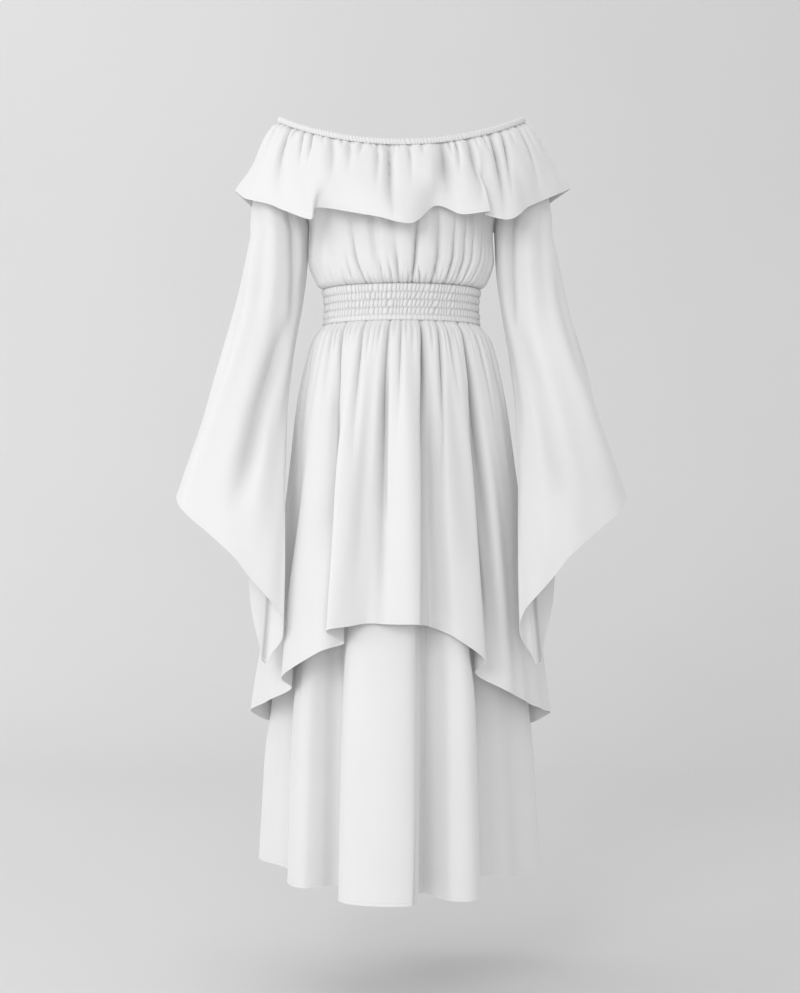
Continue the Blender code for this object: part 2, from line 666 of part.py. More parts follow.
def waistband(material):
    # Shirred elastic strip: small puffs between rows of stitching, raised over a plain inside.
    shell = Shell()
    angle = np.arange(SMOCK_RIBS) * 2 * np.pi / SMOCK_RIBS
    top = WAIST_TOP_Z - SEAM_GAP
    height = top - WAIST_BOTTOM_Z
    heights = SMOCK_BANDS["height"] * height / SMOCK_BANDS["height"].sum()
    levels = top - np.concatenate([[0], np.cumsum(heights)])

    def ring_at(angles, z, out):
        middle = 1 - WAIST_PINCH * np.sin(np.pi * (top - z) / height)
        return np.stack(
            [
                (WAIST_HALF_WIDTH * middle + out) * np.sin(angles),
                -(WAIST_HALF_DEPTH * middle + out) * np.cos(angles),
                np.full(len(angles), z),
            ],
            axis=-1,
        )

    outer = [shell.row(ring_at(angle, z, BAND_HALF_WALL)) for z in levels]
    for k in range(len(heights)):
        middle_z = 0.5 * (levels[k] + levels[k + 1])
        turned = angle + np.pi / SMOCK_RIBS
        tips = shell.row(ring_at(turned, middle_z, BAND_HALF_WALL + SMOCK_BANDS["puff"][k]))
        for i, tip in enumerate(tips):
            j = (i + 1) % SMOCK_RIBS
            corners = (outer[k][i], outer[k + 1][i], outer[k + 1][j], outer[k][j])
            shell.faces += [(corners[n], corners[(n + 1) % 4], tip) for n in range(4)]
    inside = (levels[0], 0.5 * (levels[0] + levels[-1]), levels[-1])
    inner = [shell.row(ring_at(angle, z, -BAND_HALF_WALL)) for z in inside]
    looped = [row + row[:1] for row in inner]
    for upper, lower in zip(looped, looped[1:]):
        shell.strip(upper, lower, flip=True)
    shell.strip(looped[0], outer[0] + outer[0][:1])
    shell.strip(outer[-1] + outer[-1][:1], looped[-1])
    return shell.make("waistband", material)


def cloth_material(name):
    colour, roughness = COLOURS[name]
    made = bpy.data.materials.new(name)
    made.use_nodes = True
    shader = made.node_tree.nodes["Principled BSDF"]
    shader.inputs["Base Color"].default_value = colour
    shader.inputs["Roughness"].default_value = roughness
    made.diffuse_color = colour
    return made


def main():
    for old in list(bpy.data.objects):
        bpy.data.objects.remove(old)
    crepe = cloth_material("crepe")
    shirring = cloth_material("shirring")
    casing(crepe)
    halves("ruffle", RUFFLE_SHAPE, RUFFLE_SHAPE.point, 2 * RUFFLE_GATHERS, RUFFLE_ROWS, crepe)
    bodice(crepe)
    sleeves(crepe)
    waistband(shirring)
    halves("overskirt", OVER_SHAPE, OVER_SHAPE.point, 4 * OVER_GATHERS, OVER_ROWS, crepe, OVER_FINE_ROWS)
    halves("underskirt", UNDER_SHAPE, underskirt_point, 2 * UNDER_GATHERS, UNDER_ROWS, crepe)


main()
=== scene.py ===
# Off-the-shoulder maxi dress in its worn shape, with nobody in it. Metres, +Z up, the front faces -Y.
import math

import bpy
import numpy as np
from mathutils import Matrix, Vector


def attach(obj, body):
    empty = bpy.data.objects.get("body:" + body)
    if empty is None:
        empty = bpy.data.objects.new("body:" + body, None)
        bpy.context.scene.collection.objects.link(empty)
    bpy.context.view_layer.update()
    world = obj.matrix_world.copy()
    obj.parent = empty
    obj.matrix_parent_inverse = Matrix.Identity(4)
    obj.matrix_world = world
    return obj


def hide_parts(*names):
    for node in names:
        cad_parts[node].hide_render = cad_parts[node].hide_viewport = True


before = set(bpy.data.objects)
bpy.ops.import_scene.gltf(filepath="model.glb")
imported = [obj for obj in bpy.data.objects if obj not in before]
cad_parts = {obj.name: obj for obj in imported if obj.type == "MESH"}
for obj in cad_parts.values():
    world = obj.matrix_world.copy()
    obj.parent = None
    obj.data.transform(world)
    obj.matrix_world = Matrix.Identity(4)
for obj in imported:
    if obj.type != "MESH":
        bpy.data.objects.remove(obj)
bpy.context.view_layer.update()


turn = 2 * math.pi


def table(columns, *rows):
    names = columns.split()
    return {name: np.array([row[i] for row in rows], float) for i, name in enumerate(names)}


def rowsOf(values):
    names = list(values)
    return [{name: values[name][k] for name in names} for k in range(len(values[names[0]]))]


def ease(t):
    t = np.clip(t, 0, 1)
    return t * t * (3 - 2 * t)


def smoothAlong(xs, ys, x):
    # Cubic through a table's rows that never overshoots them
    xs, ys, x = (np.asarray(v, float) for v in (xs, ys, x))
    steps = np.diff(xs)
    slopes = np.diff(ys) / steps
    tangents = np.zeros_like(ys)
    product = slopes[:-1] * slopes[1:]
    total = slopes[:-1] + slopes[1:]
    tangents[1:-1] = np.where(product > 0, 2 * product / np.where(total == 0, 1, total), 0)
    tangents[0], tangents[-1] = slopes[0], slopes[-1]
    i = np.clip(np.searchsorted(xs, x, side="right") - 1, 0, len(steps) - 1)
    t = np.clip((x - xs[i]) / steps[i], 0, 1)
    return (
        (1 + 2 * t) * (1 - t) ** 2 * ys[i]
        + t * (1 - t) ** 2 * steps[i] * tangents[i]
        + t * t * (3 - 2 * t) * ys[i + 1]
        + t * t * (t - 1) * steps[i] * tangents[i + 1]
    )


def closedSpline(points, at):
    # Catmull-Rom round a closed list of points, one unit of at for each point
    count = len(points)
    i = np.floor(at).astype(int)
    t = (at - i)[..., None]
    before, start, end, after = (points[(i + k) % count] for k in (-1, 0, 1, 2))
    return 0.5 * (
        2 * start
        + (end - before) * t
        + (2 * before - 5 * start + 4 * end - after) * t**2
        + (3 * start - before - 3 * end + after) * t**3
    )


def softWaves(a, b, seed, count, height, tallest, widest, closed=False):
    # Low swells of the cloth, a across it and b along it in metres. Round a closed tube a goes from 0 to 1.
    dice = np.random.default_rng(seed)
    total = np.zeros(np.broadcast(a, b).shape)
    for _ in range(count):
        cycles = 1 / (widest * dice.uniform(0.35, 1.0))
        across = turn * (round(cycles) if closed else cycles)
        along = turn / (tallest * dice.uniform(0.5, 1.3)) * dice.choice([-1, 1])
        total += dice.uniform(0.4, 1.0) * np.sin(across * a + along * b + dice.uniform(0, turn))
    return height * total / math.sqrt(count)


def offsetFrom(centre, a, wrap):
    # How far a lies from the middle of a crease, the shorter way round where a wraps
    off = a - centre
    return (off + 0.5 * wrap) % wrap - 0.5 * wrap if wrap else off


def fadedEnds(t, soft):
    return ease((t + soft) / (2 * soft)) * ease((1 + soft - t) / (2 * soft))


def troughs(a, b, rows, wrap=None):
    # Soft creases from (a0, b0) to (a1, b1). A positive depth sinks in, a negative one stands out.
    total = np.zeros(np.broadcast(a, b).shape)
    for row in rowsOf(rows):
        t = (b - row["b0"]) / (row["b1"] - row["b0"])
        off = offsetFrom(row["a0"] + (row["a1"] - row["a0"]) * np.clip(t, -0.3, 1.3), a, wrap)
        total -= row["depthMm"] * fadedEnds(t, 0.25) * np.exp(-((off / row["width"]) ** 2))
    return total / 1000


# Painted shade on the low side of a folded edge: a line, and a fainter strip that goes further. shift,
# width and reach are in the edge's own softness, and an edge fullMm high has all of it.
edgeShade = {"fullMm": 4, "line": 0.55, "shift": 1.3, "width": 1.4, "low": 0.34, "reach": 6}


def foldEdges(a, b, rows, wrap=None):
    # Crisp folded edges from (a0, b0) to (a1, b1): on one side the cloth stands out by height and sinks back
    # over width, on the other side it drops at once. side is +1 where higher a is the raised one.
    total, shade = np.zeros(np.broadcast(a, b).shape), np.zeros(np.broadcast(a, b).shape)
    for row in rowsOf(rows):
        t = (b - row["b0"]) / (row["b1"] - row["b0"])
        centre = row["a0"] + (row["a1"] - row["a0"]) * np.clip(t, 0, 1) ** row["bend"]
        off = offsetFrom(centre, a, wrap) * row["side"]
        ends, steps = fadedEnds(t, 0.15), off / row["soft"]
        back = np.exp(-np.maximum(off, 0) / row["width"])
        total += row["heightMm"] * ends * (0.5 + 0.5 * np.tanh(steps)) * back
        # The shade is painted: it greys the colour on the low side of the edge
        strength = min(1, row["heightMm"] / edgeShade["fullMm"]) ** 2 * ends
        line = np.exp(-(((steps + edgeShade["shift"]) / edgeShade["width"]) ** 2))
        low = np.exp(np.minimum(steps, 0) / edgeShade["reach"]) * ease(0.5 - steps)
        shade += strength * (edgeShade["line"] * line + edgeShade["low"] * low)
    return total / 1000, shade


def gridNormals(points, ring=False):
    # Normals of a grid of points, rows downwards and columns to the wearer's left
    if ring:
        wide = np.concatenate([points[:, -2:-1], points, points[:, 1:2]], axis=1)
        across = (wide[:, 2:] - wide[:, :-2]) / 2
    else:
        across = np.gradient(points, axis=1)
    along = np.gradient(points, axis=0)
    normal = np.cross(along, across)
    size = np.linalg.norm(normal, axis=-1, keepdims=True)
    return normal / np.maximum(size, 1e-12)


def gridFaces(index, flip=False):
    a, b = index[:-1, :-1], index[:-1, 1:]
    c, d = index[1:, 1:], index[1:, :-1]
    order = (a, b, c, d) if flip else (a, d, c, b)
    return np.stack([corner.ravel() for corner in order], axis=-1)


def clothMesh(name, middle, normal, thickness, cloth, crease, openRows=None):
    # A thin closed wall round a grid. Rows after openRows are rings: their last column is their first.
    rows, columns = middle.shape[:2]
    half = 0.5 * np.broadcast_to(np.asarray(thickness, float), (rows, columns))[..., None]
    outer = middle + normal * half
    inner = middle - normal * half
    index = np.arange(rows * columns).reshape(rows, columns)
    if openRows is not None:
        index[openRows:, -1] = index[openRows:, 0]
    count = rows * columns
    faces = [gridFaces(index), gridFaces(index + count, flip=True)]
    borders = [index[0][::-1], index[-1]]
    last = rows if openRows is None else openRows + 1
    borders += [index[:last, 0], index[:last, -1][::-1]]
    for border in borders:
        upper, lower = border, border + count
        faces.append(np.stack([upper[:-1], lower[:-1], lower[1:], upper[1:]], axis=-1))
    points = np.concatenate([outer.reshape(-1, 3), inner.reshape(-1, 3)])
    uv, shade = np.tile(cloth.reshape(-1, 2), (2, 1)), np.tile(crease.ravel(), 2)
    return meshObject(name, points, np.concatenate(faces), uv, shade)


def meshObject(name, points, faces, uv=None, crease=None):
    used = np.unique(faces)
    lookup = np.zeros(len(points), int)
    lookup[used] = np.arange(len(used))
    faces = lookup[faces]
    mesh = bpy.data.meshes.new(name)
    mesh.from_pydata(points[used].tolist(), [], faces.tolist())
    mesh.shade_smooth()
    mesh.set_sharp_from_angle(angle=math.radians(66))
    if uv is not None:
        layer = mesh.uv_layers.new(name="cloth")
        corners = np.empty(len(mesh.loops), int)
        mesh.loops.foreach_get("vertex_index", corners)
        layer.data.foreach_set("uv", uv[used][corners].ravel())
        # The crease attribute is painted shade: how far the colour is greyed where the cloth sinks in
        shade = mesh.attributes.new("crease", "FLOAT", "POINT")
        shade.data.foreach_set("value", np.clip(crease[used], 0, 1))
    piece = bpy.data.objects.new(name, mesh)
    bpy.context.scene.collection.objects.link(piece)
    return piece


def linear(hexColour):
    # sRGB hex to Blender's linear colour
    channels = [int(hexColour[i : i + 2], 16) / 255 for i in (1, 3, 5)]
    return tuple(c / 12.92 if c <= 0.04045 else ((c + 0.055) / 1.055) ** 2.4 for c in channels) + (1.0,)


def feed(node, inputs):
    # An input is a value, or the output of another node
    for key, value in inputs.items():
        if isinstance(value, bpy.types.NodeSocket):
            node.id_data.links.new(value, node.inputs[key])
        else:
            node.inputs[key].default_value = value


def addNode(tree, kind, inputs=None, **settings):
    node = tree.nodes.new(kind)
    for key, value in settings.items():
        setattr(node, key, value)
    feed(node, inputs or {})
    return node


def addMath(tree, operation, *values):
    return addNode(tree, "ShaderNodeMath", dict(enumerate(values)), operation=operation).outputs[0]


def addMix(tree, factor, a, b):
    inputs = {"Factor": factor, "A": a, "B": b}
    return addNode(tree, "ShaderNodeMix", inputs, data_type="RGBA").outputs["Result"]


def newMaterial(name, inputs):
    material = bpy.data.materials.new(name)
    material.use_nodes = True
    shader = material.node_tree.nodes["Principled BSDF"]
    feed(shader, inputs)
    return material, shader


crepe = {
    # Painted shade: the darkest grey on the next line is mixed in at the bottoms of creases and seams
    "colour": "#DDDCDC", "tint": "#D8D7D7", "tintScale": 9.0, "paintedShadeColour": "#9D9C9D",
    "roughness": 0.86, "ior": 1.46, "specular": 0.25, "sheen": 0.62, "sheenRoughness": 0.55,
    "grainMm": 1.1,  # crepe pebble: real yarn crinkle is about 0.5 mm, drawn coarser so that it shows
    "threadMm": 0.9,  # thread spacing: really 0.3 mm, drawn coarser for the same reason
    "yarnShare": 0.25, "bump": 0.22, "bumpMm": 0.22,
    "stitchMm": 2.8, "stitchShare": 0.78, "stitchHalfMm": 0.5, "stitchColour": "#D3D2D3",
    "hemMm": 5.0,
}


def crepeMaterial(name, values, stitched):
    # Polyester crepe, piece-dyed white: a dull pebbled face with a faint fuzz that lifts its edges
    material, shader = newMaterial(name, {
        "Base Color": linear(values["colour"]), "Roughness": values["roughness"], "IOR": values["ior"],
        "Specular IOR Level": values["specular"],
        "Sheen Weight": values["sheen"], "Sheen Roughness": values["sheenRoughness"],
    })
    tree = material.node_tree
    place = addNode(tree, "ShaderNodeTexCoord").outputs["Object"]
    metres = addNode(tree, "ShaderNodeUVMap", uv_map="cloth").outputs["UV"]
    pebble = addNode(tree, "ShaderNodeTexNoise", {
        "Vector": place, "Scale": 1000 / values["grainMm"] / 2, "Detail": 3.0, "Roughness": 0.6,
    })
    yarn = addNode(tree, "ShaderNodeTexWave", {
        "Vector": metres, "Scale": 1000 / values["threadMm"] / 20,
        "Distortion": 2.5, "Detail": 2.0, "Detail Scale": 3.0,
    }, wave_type="BANDS", bands_direction="X")
    grain = addMath(tree, "MULTIPLY_ADD", yarn.outputs["Fac"], values["yarnShare"], pebble.outputs["Fac"])
    bump = addNode(tree, "ShaderNodeBump", {
        "Height": grain, "Strength": values["bump"], "Distance": values["bumpMm"] / 1000,
    })
    cloud = addNode(tree, "ShaderNodeTexNoise", {"Vector": place, "Scale": values["tintScale"], "Detail": 2})
    colour = addMix(tree, cloud.outputs["Fac"], linear(values["tint"]), linear(values["colour"]))
    # Painted shade: the crease attribute greys the colour at the bottoms of gathers, creases and seams
    crease = addNode(tree, "ShaderNodeAttribute", attribute_name="crease")
    colour = addMix(tree, crease.outputs["Fac"], colour, linear(values["paintedShadeColour"]))
    if stitched:
        # The hem's row of stitches lies hemMm above the cut edge: V is metres from that edge
        parts = addNode(tree, "ShaderNodeSeparateXYZ", {"Vector": metres}).outputs
        away = addMath(tree, "ABSOLUTE", addMath(tree, "SUBTRACT", parts["Y"], values["hemMm"] / 1000))
        along = addMath(tree, "FRACT", addMath(tree, "DIVIDE", parts["X"], values["stitchMm"] / 1000))
        stitch = addMath(
            tree, "MULTIPLY", addMath(tree, "LESS_THAN", away, values["stitchHalfMm"] / 1000),
            addMath(tree, "LESS_THAN", along, values["stitchShare"]),
        )
        colour = addMix(tree, stitch, colour, linear(values["stitchColour"]))
    feed(shader, {"Base Color": colour, "Normal": bump.outputs["Normal"]})
    return material


materials = {
    "crepe": crepeMaterial("white_crepe", crepe, False),
    "hemmed": crepeMaterial("white_crepe_hemmed", crepe, True),
    "shirring": crepeMaterial("shirred_crepe", dict(crepe, sheen=0.15, grainMm=0.9), False),
}


def addCloth(node, grid, thickness, material, openRows=None):
    # One node's piece, from its grid of points, normals, cloth coordinates and painted crease shade
    place, normal, cloth, crease = grid
    piece = clothMesh(node + "_cloth", place, normal, thickness, cloth, crease, openRows)
    piece.data.materials.append(materials[material])
    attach(piece, "root")
    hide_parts(node)


# A gather leaves the seam at a0 and ends at a1, reach down the cloth. sharp is the part of it that is a
# sharp line. Creases and edges go from (a0, b0) to (a1, b1). In each piece's values, waves are how many soft
# swells there are, their height, and how tall and wide the largest is.
gatherColumns = "a0 a1 reach width depthMm sharp"
creaseColumns = "a0 b0 a1 b1 width depthMm"
edgeColumns = "a0 b0 a1 b1 bend side heightMm width soft"


# The shared measures of the cut, in metres
body = {
    "neckWidth": 0.205, "neckDepth": 0.105, "neckSide": 0.0028,  # half sizes of the elastic ring
    "frontDip": 0.059, "backDip": 0.036, "dipPower": 1.6,
    "casingHeight": 0.009, "casingDepth": 0.0052,
    "waistTop": -0.2820, "waistBottom": -0.3425,
    "waistWidth": 0.131, "waistDepth": 0.096, "waistPinch": 0.030,
    "underarm": -0.190, "hem": -1.2555, "raglanDeg": 48.0,
}


def neckHeight(angle):
    cosine = np.cos(angle)
    dip = np.where(cosine > 0, body["frontDip"], body["backDip"])
    return body["neckSide"] - dip * np.abs(cosine) ** body["dipPower"]


def onEllipse(angle, halfWidth, halfDepth, z):
    # Angles are 0 at the front centre and positive to the wearer's left
    parts = np.broadcast_arrays(halfWidth * np.sin(angle), -halfDepth * np.cos(angle), z)
    return np.stack(parts, axis=-1)


def onNeck(angle, out=0.0):
    return onEllipse(angle, body["neckWidth"] + out, body["neckDepth"] + out, neckHeight(angle))


# Folds are listed from the wearer's right round by the front: the angle at which each leaves the seam,
# then its valley and the two shoulders of its ridge at the hem, as an angle, a share of the hem's
# ellipse and a height. A fold is full at the share of the length named by opens, and softer above it.
foldColumns = "opens seamDeg valleyDeg valleyShare valleyZ leftDeg leftShare leftZ rightDeg rightShare rightZ"
hemZ = body["hem"]

ruffle = {
    "columns": 400, "rows": 46, "power": 1.5, "thickness": 0.0007, "hemSize": (0.262, 0.150),
    "folds": table(
        foldColumns,
        (1, -104, -108, 0.96, -0.15, -92, 1.065, -0.115, -70, 1.04, -0.138),
        (1, -60, -56, 1, -0.152, -42, 1.06, -0.17, -28, 1.165, -0.189),
        (1, -36, -31, 0.985, -0.166, -9, 1.08, -0.185, 3, 1.15, -0.198),
        (0.9, 14, 14, 0.87, -0.163, 20, 1.06, -0.18, 29, 1.108, -0.175),
        (0.6, 34, 31, 1, -0.178, 38, 1.09, -0.184, 50, 1.02, -0.16),
        (0.9, 64, 66, 0.99, -0.14, 80, 1.04, -0.122, 92, 1.07, -0.113),
        (0.9, 106, 112, 0.95, -0.145, 124, 1.05, -0.162, 138, 1.09, -0.17),
        (0.9, 144, 148, 0.93, -0.16, 158, 1.05, -0.175, 170, 1.1, -0.18),
        (0.9, 180, 181, 0.92, -0.16, 192, 1.07, -0.176, 203, 1.09, -0.174),
        (0.9, 216, 213, 0.94, -0.155, 224, 1.06, -0.166, 238, 1.05, -0.156),
    ),
    # Shares of the length, and how much of its spread the cloth has there
    "spread": ((0, 0.12, 0.35, 0.65, 1), (0, 0.2, 0.5, 0.78, 1)),
    # Gathers under the elastic, front half, in degrees
    "gathers": table(
        gatherColumns,
        (-84, -82, 0.35, 2, 4, 0.4), (-76, -74, 0.55, 2.2, 5.5, 0.4), (-68, -67, 0.3, 1.8, 4, 0.5),
        (-61, -57, 1, 2.6, 9.5, 0.4), (-56, -56, 0.2, 1.4, 4, 0.5), (-50, -49, 0.5, 1.5, 6.5, 0.6),
        (-44, -45, 0.42, 1.5, 6.5, 0.6), (-38, -38, 0.15, 1.2, 3, 0.5), (-33, -36, 0.75, 2.6, 6.5, 0.3),
        (-28, -28, 0.14, 1.2, 3, 0.5), (-24, -27, 0.5, 2, 6, 0.4), (-18, -21, 0.25, 1.5, 5, 0.5),
        (-14, -14, 0.12, 1.1, 2.5, 0.5), (-11, -16, 0.7, 1.8, 6.5, 0.6), (-6, -12, 1.1, 2.4, 10.5, 0.5),
        (-3, -6, 0.25, 1.3, 4, 0.5), (3, 2, 0.55, 1.6, 6, 0.6), (9, 9, 0.22, 1.3, 4.5, 0.6),
        (14, 14, 0.12, 1.1, 3, 0.5), (18, 16, 1.15, 3, 11, 0.35), (21.5, 21, 0.24, 1.3, 4.5, 0.6),
        (24.5, 22, 0.5, 1.4, 6.5, 0.65), (31, 24, 1.05, 2.6, 10, 0.45), (35, 34, 0.18, 1.2, 3.5, 0.5),
        (39, 40, 0.25, 1.4, 6, 0.6), (43.5, 41, 1.2, 2.4, 11.5, 0.6), (51, 46, 0.8, 1.7, 10, 0.65),
        (57, 55, 0.25, 1.4, 4, 0.5), (65, 62, 0.9, 2, 8, 0.6), (71, 70, 0.4, 1.6, 5.5, 0.6),
        (80, 78, 0.55, 2, 5, 0.5),
    ),
    "fine": 112, "puff": 0.0050, "puffReach": 0.85, "rise": 0.05, "unfold": 1.6, "spreadOut": 0.9,
    "room": (0.0024, 0.20), "seamShade": 0.5, "seed": 11,
    "waves": (9, 0.0011, 0.30, 0.072), "wavesFrom": (0.0, 0.3),
    "waveSeed": 21, "drop": 0.15, "above": "neck_casing",
}

overskirt = {
    "columns": 480, "rows": 60, "power": 1.6, "thickness": 0.0007, "hemSize": (0.235, 0.210),
    "folds": table(
        foldColumns,
        (1, -102, -106, 0.99, -1.012, -91, 1.076, -0.988, -76, 0.97, -0.965),
        (1, -68, -64, 0.85, -0.941, -53, 1.02, -0.915, -33, 1.01, -0.872),
        (0.45, -43, -25, 0.92, -0.858, -26, 1.14, -0.836, -19, 1.06, -0.829),
        (0.6, -11, -13, 0.985, -0.825, -4, 1.065, -0.825, 6.2, 1.065, -0.826),
        (0.45, 16, 13.5, 0.8, -0.833, 21, 1, -0.848, 34, 1, -0.886),
        (0.5, 41, 40, 0.78, -0.912, 51, 0.91, -0.938, 61, 0.93, -0.954),
        (0.95, 72, 70, 0.96, -0.968, 81, 1.015, -0.981, 91, 1.055, -0.993),
        (0.8, 103, 106, 0.95, -1.016, 118, 1.03, -0.985, 130, 1.05, -0.95),
        (0.6, 136, 140, 0.84, -0.92, 148, 1.02, -0.895, 160, 1.04, -0.865),
        (0.6, 168, 169, 0.88, -0.85, 176, 1.03, -0.84, 187, 1.05, -0.84),
        (0.55, 198, 196, 0.87, -0.85, 205, 1.04, -0.87, 218, 1.02, -0.905),
        (0.8, 228, 227, 0.86, -0.93, 237, 1.03, -0.955, 247, 1.04, -0.985),
    ),
    "spread": ((0, 0.045, 0.11, 0.24, 0.45, 0.71, 1), (0, 0.14, 0.27, 0.45, 0.63, 0.81, 1)),
    "gathers": table(
        gatherColumns,
        (-84, -84, 0.2, 2.2, 5.5, 0.5), (-76, -77, 0.35, 2.4, 7, 0.4), (-68, -69, 0.18, 1.8, 4.5, 0.5),
        (-61, -62, 0.3, 2.2, 6, 0.4), (-54, -55, 0.35, 2.2, 6, 0.3), (-49, -50, 0.12, 1.6, 4, 0.5),
        (-44, -48, 0.42, 2.4, 11, 0.5), (-36, -36, 0.12, 1.6, 4, 0.5), (-31, -31, 0.1, 1.4, 3.5, 0.5),
        (-26, -24, 0.5, 2.2, 8, 0.45), (-21, -20, 0.16, 1.6, 4.5, 0.5), (-14, -13, 0.12, 1.4, 4, 0.6),
        (-8, -8, 1.3, 2.2, 10.5, 0.45), (-3.5, -3.5, 0.08, 1.2, 3.5, 0.5), (0, 0, 0.42, 1.7, 6.5, 0.6),
        (3.5, 3.5, 0.09, 1.2, 3.5, 0.6), (7, 7, 0.14, 1.2, 4, 0.6), (13.5, 11, 0.9, 2.4, 11, 0.6),
        (20, 20, 0.12, 1.4, 4, 0.6), (25, 20.5, 0.6, 2, 10.5, 0.6), (32, 32, 0.28, 1.9, 6, 0.4),
        (37, 37, 0.12, 1.5, 4, 0.5), (45, 48, 0.7, 2.6, 10.5, 0.5), (51, 51, 0.1, 1.4, 3.5, 0.5),
        (57, 63, 0.35, 2.4, 7, 0.5), (64, 66, 0.14, 1.8, 4, 0.5), (72, 80, 0.35, 2.6, 7, 0.4),
        (82, 84, 0.2, 2.2, 5, 0.5),
    ),
    "fine": 124, "puff": 0.0065, "puffReach": 0.40, "rise": 0.035, "unfold": 1.0, "spreadOut": 1.6,
    "room": (0.0050, 0.45), "seamShade": 0.0, "seed": 12,
    "creases": table(
        creaseColumns,
        (-8, 0.18, -6.5, 0.95, 2.6, 4.2), (-20, 0.2, -24, 0.8, 4, -3), (4, 0.25, 2.5, 1, 3.5, -2.2),
        (13.8, 0.1, 9.6, 1.05, 2.6, 7), (20, 0.18, 17, 0.8, 3, -2.2), (28, 0.15, 30, 0.75, 3.4, 4),
        (36, 0.2, 38, 0.8, 3.5, -2.5), (44.8, 0.12, 49.5, 0.88, 3.4, 5.6),
        (-48.5, 0.18, -50.5, 0.72, 3.2, 5), (-60, 0.1, -63, 0.55, 4.5, -2),
        (-70, 0.08, -73, 0.35, 3.5, 1.8), (-81, 0.08, -82, 0.75, 3.6, 3.4),
        (-93, 0.06, -90, 0.65, 3.2, 5.5), (60, 0.1, 64, 0.55, 4.5, -2.5), (71, 0.08, 75, 0.35, 3.5, 1.8),
        (85, 0.06, 84, 0.7, 3.4, 3.6), (97, 0.08, 99, 0.6, 3.4, 4.8), (120, 0.15, 124, 0.8, 5, 4),
        (152, 0.2, 150, 0.9, 5, 3), (186, 0.25, 183, 0.95, 5, 3.5), (212, 0.15, 214, 0.85, 5, 4),
    ),
    "hollowShade": (0.22, 0.0056, 1.5),
    "edges": table(
        edgeColumns,
        (-5.3, 0.2, -4, 0.62, 1, 1, 3.2, 8, 0.6), (12.8, 0.08, 6.7, 1.1, 0.6, -1, 6.2, 8, 0.42),
        (41, 0.1, 45.5, 0.8, 1, -1, 4.6, 8, 0.5), (-45, 0.24, -46.5, 0.64, 1, 1, 4.2, 8, 0.6),
        (138, 0.1, 141, 0.85, 1, 1, 4, 8, 0.5), (171, 0.12, 174, 0.95, 0.7, 1, 4, 8, 0.5),
        (197, 0.2, 195, 0.7, 1, -1, 3, 8, 0.6), (226, 0.12, 224, 0.8, 1, -1, 4, 8, 0.6),
    ),
    "waves": (12, 0.0020, 1.1, 0.082), "wavesFrom": (0.0, 0.25),
    "waveSeed": 22, "drop": 0.55, "above": "waistband",
}

underskirt = {
    "columns": 324, "rows": 50, "power": 1.2, "thickness": 0.0007, "hemSize": (0.235, 0.210),
    "inset": 0.0019, "layerGap": 0.005, "unfold": 1.0,
    "folds": table(
        foldColumns,
        (0.6, -122, -125, 0.8, -1.25, -112, 1.06, -1.244, -98, 1.035, -1.243),
        (0.6, -84, -83, 0.8, -1.25, -62, 0.885, hemZ, -49, 0.885, hemZ),
        (0.6, -42, -40, 0.66, hemZ, -20, 1.09, hemZ, 3, 1.105, hemZ),
        (0.6, 22, 10, 0.75, hemZ, 19.5, 1.03, hemZ, 29.5, 1.025, hemZ),
        (0.6, 50, 56, 0.64, -1.25, 77, 0.82, hemZ, 95, 1, hemZ),
        (0.6, 106, 112, 0.82, hemZ, 124, 1.02, hemZ, 136, 1.04, hemZ),
        (0.6, 146, 146, 0.74, hemZ, 155, 1.02, hemZ, 167, 1.06, hemZ),
        (0.6, 178, 177, 0.75, hemZ, 187, 1.04, hemZ, 199, 1.05, hemZ),
        (0.6, 210, 209, 0.73, hemZ, 218, 1.02, hemZ, 228, 0.98, hemZ),
    ),
    "spread": ((0, 0.03, 0.08, 0.17, 0.32, 0.5, 0.74, 1), (0, 0.06, 0.17, 0.33, 0.53, 0.7, 0.87, 1)),
    "edges": table(
        edgeColumns,
        (-79, 0.55, -76, 1.2, 1, 1, 2.2, 7, 1.2), (-26.4, 0.4, -25, 1.2, 1, 1, 3.5, 9, 0.5),
        (6, 0.45, 1.6, 1.02, 1.8, -1, 3.8, 8, 0.5), (24, 0.45, 22.5, 1.2, 1, 1, 2, 8, 1.2),
        (-49, 0.5, -49, 1.2, 1, -1, 2, 10, 1.5), (62, 0.5, 66, 1.2, 1, -1, 1.4, 9, 2.5),
        (128, 0.5, 131, 1.2, 1, 1, 3, 8, 0.7), (158, 0.45, 156, 1.2, 1, 1, 3.5, 8, 0.6),
        (190, 0.45, 194, 1.1, 1.6, -1, 4, 8, 0.6), (222, 0.5, 220, 1.2, 1, -1, 3, 8, 0.8),
    ),
    "waves": (12, 0.0022, 1.6, 0.091), "wavesFrom": (0.45, 0.3),
    "waveSeed": 23, "drop": 0.91, "above": "waistband",
}


def ruffleSeam(angle):
    place = onNeck(angle, 0.0018)
    place[..., 2] -= 0.0045
    return place


def waistSeam(inset):
    def seam(angle):
        height = body["waistBottom"] + 0.0012
        return onEllipse(angle, body["waistWidth"] - inset, body["waistDepth"] - inset, height)
    return seam


